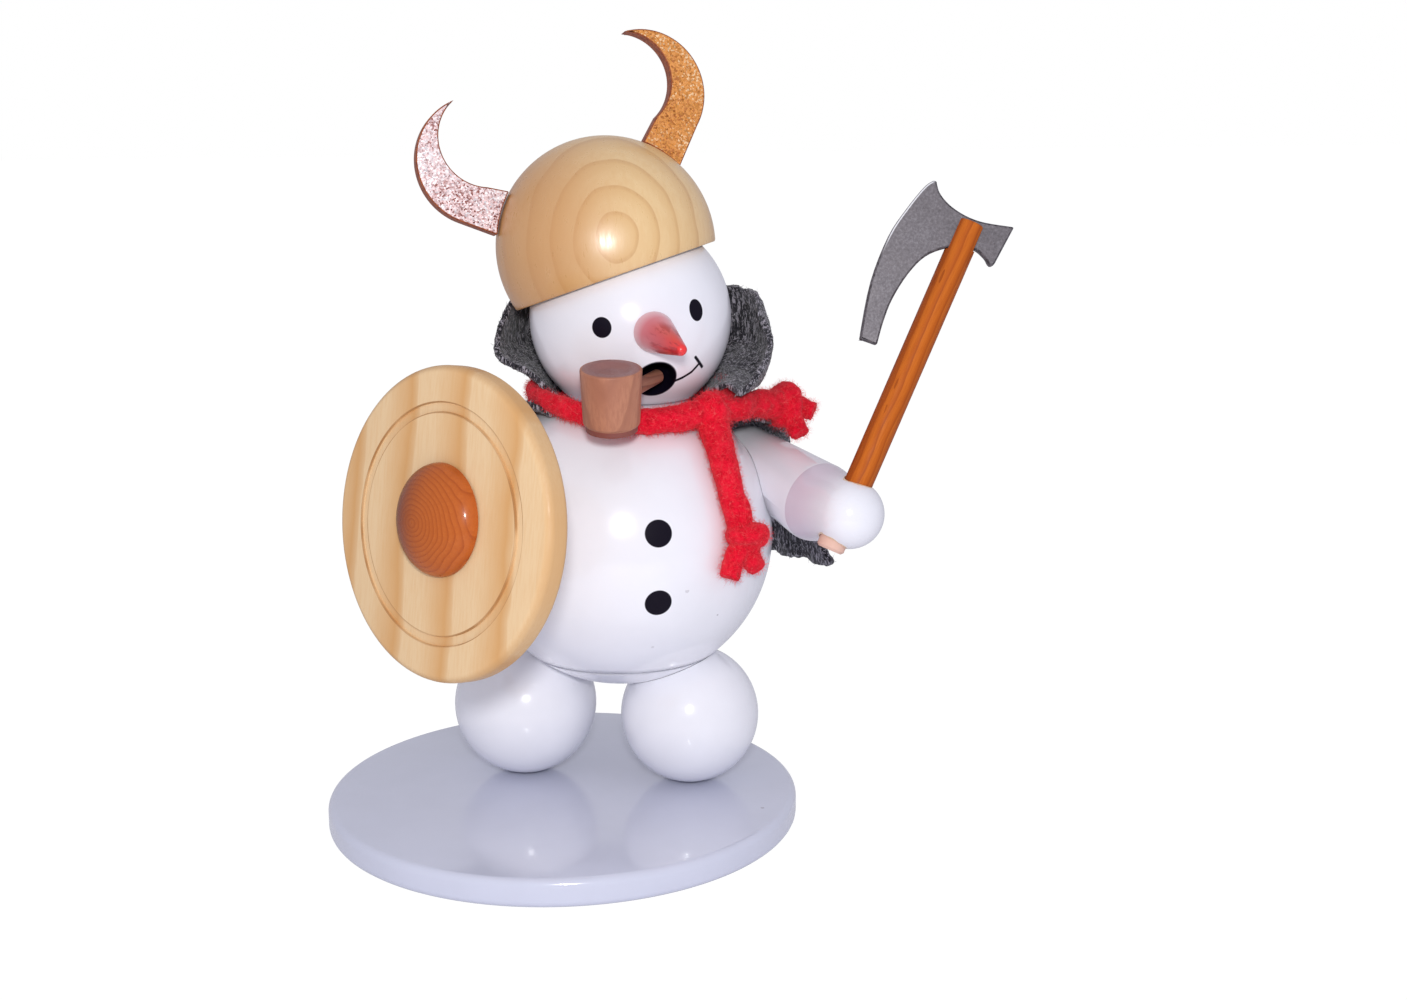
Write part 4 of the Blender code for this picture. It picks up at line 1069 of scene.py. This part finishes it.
SKIRT_RISES = (0.01524, 0.01222, 0.00958, 0.00865, 0.00642, 0.00397)
SKIRT_LATITUDES = (-14.5, -4.4, 11.1, 25.5, 35.1, 42.6)
COLLAR_RISES = (0.00482, 0.00960, 0.00930, 0.00680)
COLLAR_LATITUDES = (-22.7, -15.6, -6.3, 8.5)
HOLD_ANGLES = (-75, -125, 180, 120)
SKIRT_CURL = ((0, 0), (0, 0), (0, 0), (0.0015, 0.0025), (0.0022, 0.0040), (0.0024, 0.0052))
ROW_ENDS = ((93, 262), (102, 257), (110, 250), (93, 267), (82, 278), (72, 288), (66, 294),
            (62, 294), (56, 290), (47, 284), (43, 272), (52, 262), (72, 250), (87, 238))
FOLD = ((0.0013, -0.0043), (-0.0025, -0.0018), (-0.0012, -0.0016), (-0.0016, -0.0062))


def cape_rows(longitude):
    """Radius and height of each row of the cape, from the hem to the collar."""
    ring, height = ring_place(longitude)
    hold = SCARF_RADIUS * (1 - 0.32 * squeeze(longitude)) + CAPE_THICKNESS / 2 + GAP
    fold = held((96 - longitude) / 20)
    angles = HOLD_ANGLES[:-1] + (HOLD_ANGLES[-1] - 60 * fold,)
    hold += 0.0019 * fold
    neck = [(ring + hold * cos(radians(a)), height + hold * sin(radians(a))) for a in angles]
    skew = 0.945 + 0.10 * sin(radians(longitude))
    curl = held((longitude - 252) / 30)
    skirt = [over_ball(BODY_RADIUS, *row) for row in zip(SKIRT_RISES, SKIRT_LATITUDES)]
    skirt = [(radius - curl * inward, up + curl * lift)
             for (radius, up), (inward, lift) in zip(skirt, SKIRT_CURL)]
    collar = [over_ball(HEAD_RADIUS, *row, HEAD_LIFT) for row in zip(COLLAR_RISES, COLLAR_LATITUDES)]
    return skirt + neck + [(radius * skew + fold * outward, up + fold * lift)
                           for (radius, up), (outward, lift) in zip(collar, FOLD)]


def make_cape():
    """Thick felt laid over the shoulders, pinched by the scarf, with a standing collar."""
    rows, columns = len(ROW_ENDS), 29
    corners = []
    for row, (start, end) in enumerate(ROW_ENDS):
        for column in range(columns):
            longitude = start + (end - start) * column / (columns - 1)
            radius, height = cape_rows(longitude)[row]
            hang = held((4 - row) / 4)
            stand = held((row - 10) / 3)
            radius += 0.0006 * hang * sin(radians(longitude) * 9)
            radius += 0.0008 * stand * sin(radians(longitude) * 7 + 1)
            corners.append(around_neck(longitude, radius, height))
    faces = [(r * columns + c, r * columns + c + 1, (r + 1) * columns + c + 1, (r + 1) * columns + c)
             for r in range(rows - 1) for c in range(columns - 1)]
    cape = mesh_piece("cape_felt", corners, faces)
    apply_modifier(cape, "SUBSURF", levels=3)
    apply_modifier(cape, "SOLIDIFY", thickness=CAPE_THICKNESS, offset=0)
    roughen(cape, 0.0040, 0.0010, "RGB_TO_XYZ")
    roughen(cape, 0.0011, 0.0005)
    roughen(cape, 0.0005, 0.00025)
    bpy.ops.object.shade_smooth()
    hairs = fibres("cape_fibres", cape, 16000, 0.0011, 0.00009, 0.00013)
    dress(cape, felt_material(), "grey_felt", "cape")
    dress(hairs, fibre_material("grey_fibres", ((0.02, 0.02, 0.024), (0.10, 0.10, 0.11), (0.70, 0.69, 0.72))),
          "grey_felt", "cape")


# Stage: a pale floor that is white to the camera, a flash by the lens and soft light all round

def split_for_camera(tree, plain, kind, strength, share, target):
    """Show the camera a share of plain white, and give the light its usual shading."""
    seen = node(tree, "LightPath", output="Is Camera Ray") * share
    usual, white = Shade(tree, tree.nodes[plain].outputs[0]), node(tree, kind, (1, 1, 1), strength)
    give(tree.nodes[target], Surface=node(tree, "MixShader", seen, usual, white))


def make_stage():
    deselect()
    bpy.ops.mesh.primitive_plane_add(size=12, location=(0, 0, 0))
    floor = bpy.context.active_object
    floor.name = "floor"
    material, at = start_material("floor_white", Roughness=0.9, Specular_IOR_Level=0.0)
    finish(material, Base_Color=mix(cloudy(at, 3.0), (0.84, 0.84, 0.86), (0.88, 0.88, 0.90)))
    split_for_camera(at.tree, "Principled BSDF", "Emission", 1.08, 0.90, "Material Output")
    floor.data.materials.append(material)
    world = bpy.data.worlds.new("white_room")
    world.use_nodes = True
    give(world.node_tree.nodes["Background"], Color=(0.90, 0.90, 1.0), Strength=0.62)
    split_for_camera(world.node_tree, "Background", "Background", 1.0, 1.0, "World Output")
    bpy.context.scene.world = world
    flash = link_new("flash", bpy.data.lights.new("flash", "AREA"))
    flash.data.shape = "DISK"
    flash.data.size = 0.026
    flash.data.energy = 0.44
    place = CAMERA_PLACE + Vector((0.002, 0.006, 0.030))
    turn = (Vector((0.012, 0, 0.065)) - place).to_track_quat("-Z", "Y").to_matrix().to_4x4()
    flash.matrix_world = Matrix.Translation(place) @ turn
    bpy.context.scene.view_settings.view_transform = "Standard"


def main():
    plain = white_lacquer("white_paint")
    buttons = [ball_spot(BODY, BODY_RADIUS, *place, 0.0047, 0.0047) for place in ((-1.8, 12.3), (-2.1, -13.2))]
    make_base(white_lacquer("base_paint", white=(0.655, 0.675, 0.80), coat=1.0))
    make_feet(plain)
    make_lower_body(plain)
    make_upper_body(white_lacquer("body_paint", buttons))
    make_head(head_material())
    for make in (make_nose, make_helmet, make_horns, make_pipe, make_arms, make_axe, make_shield, make_scarf,
                 make_cape, make_stage):
        make()


main()
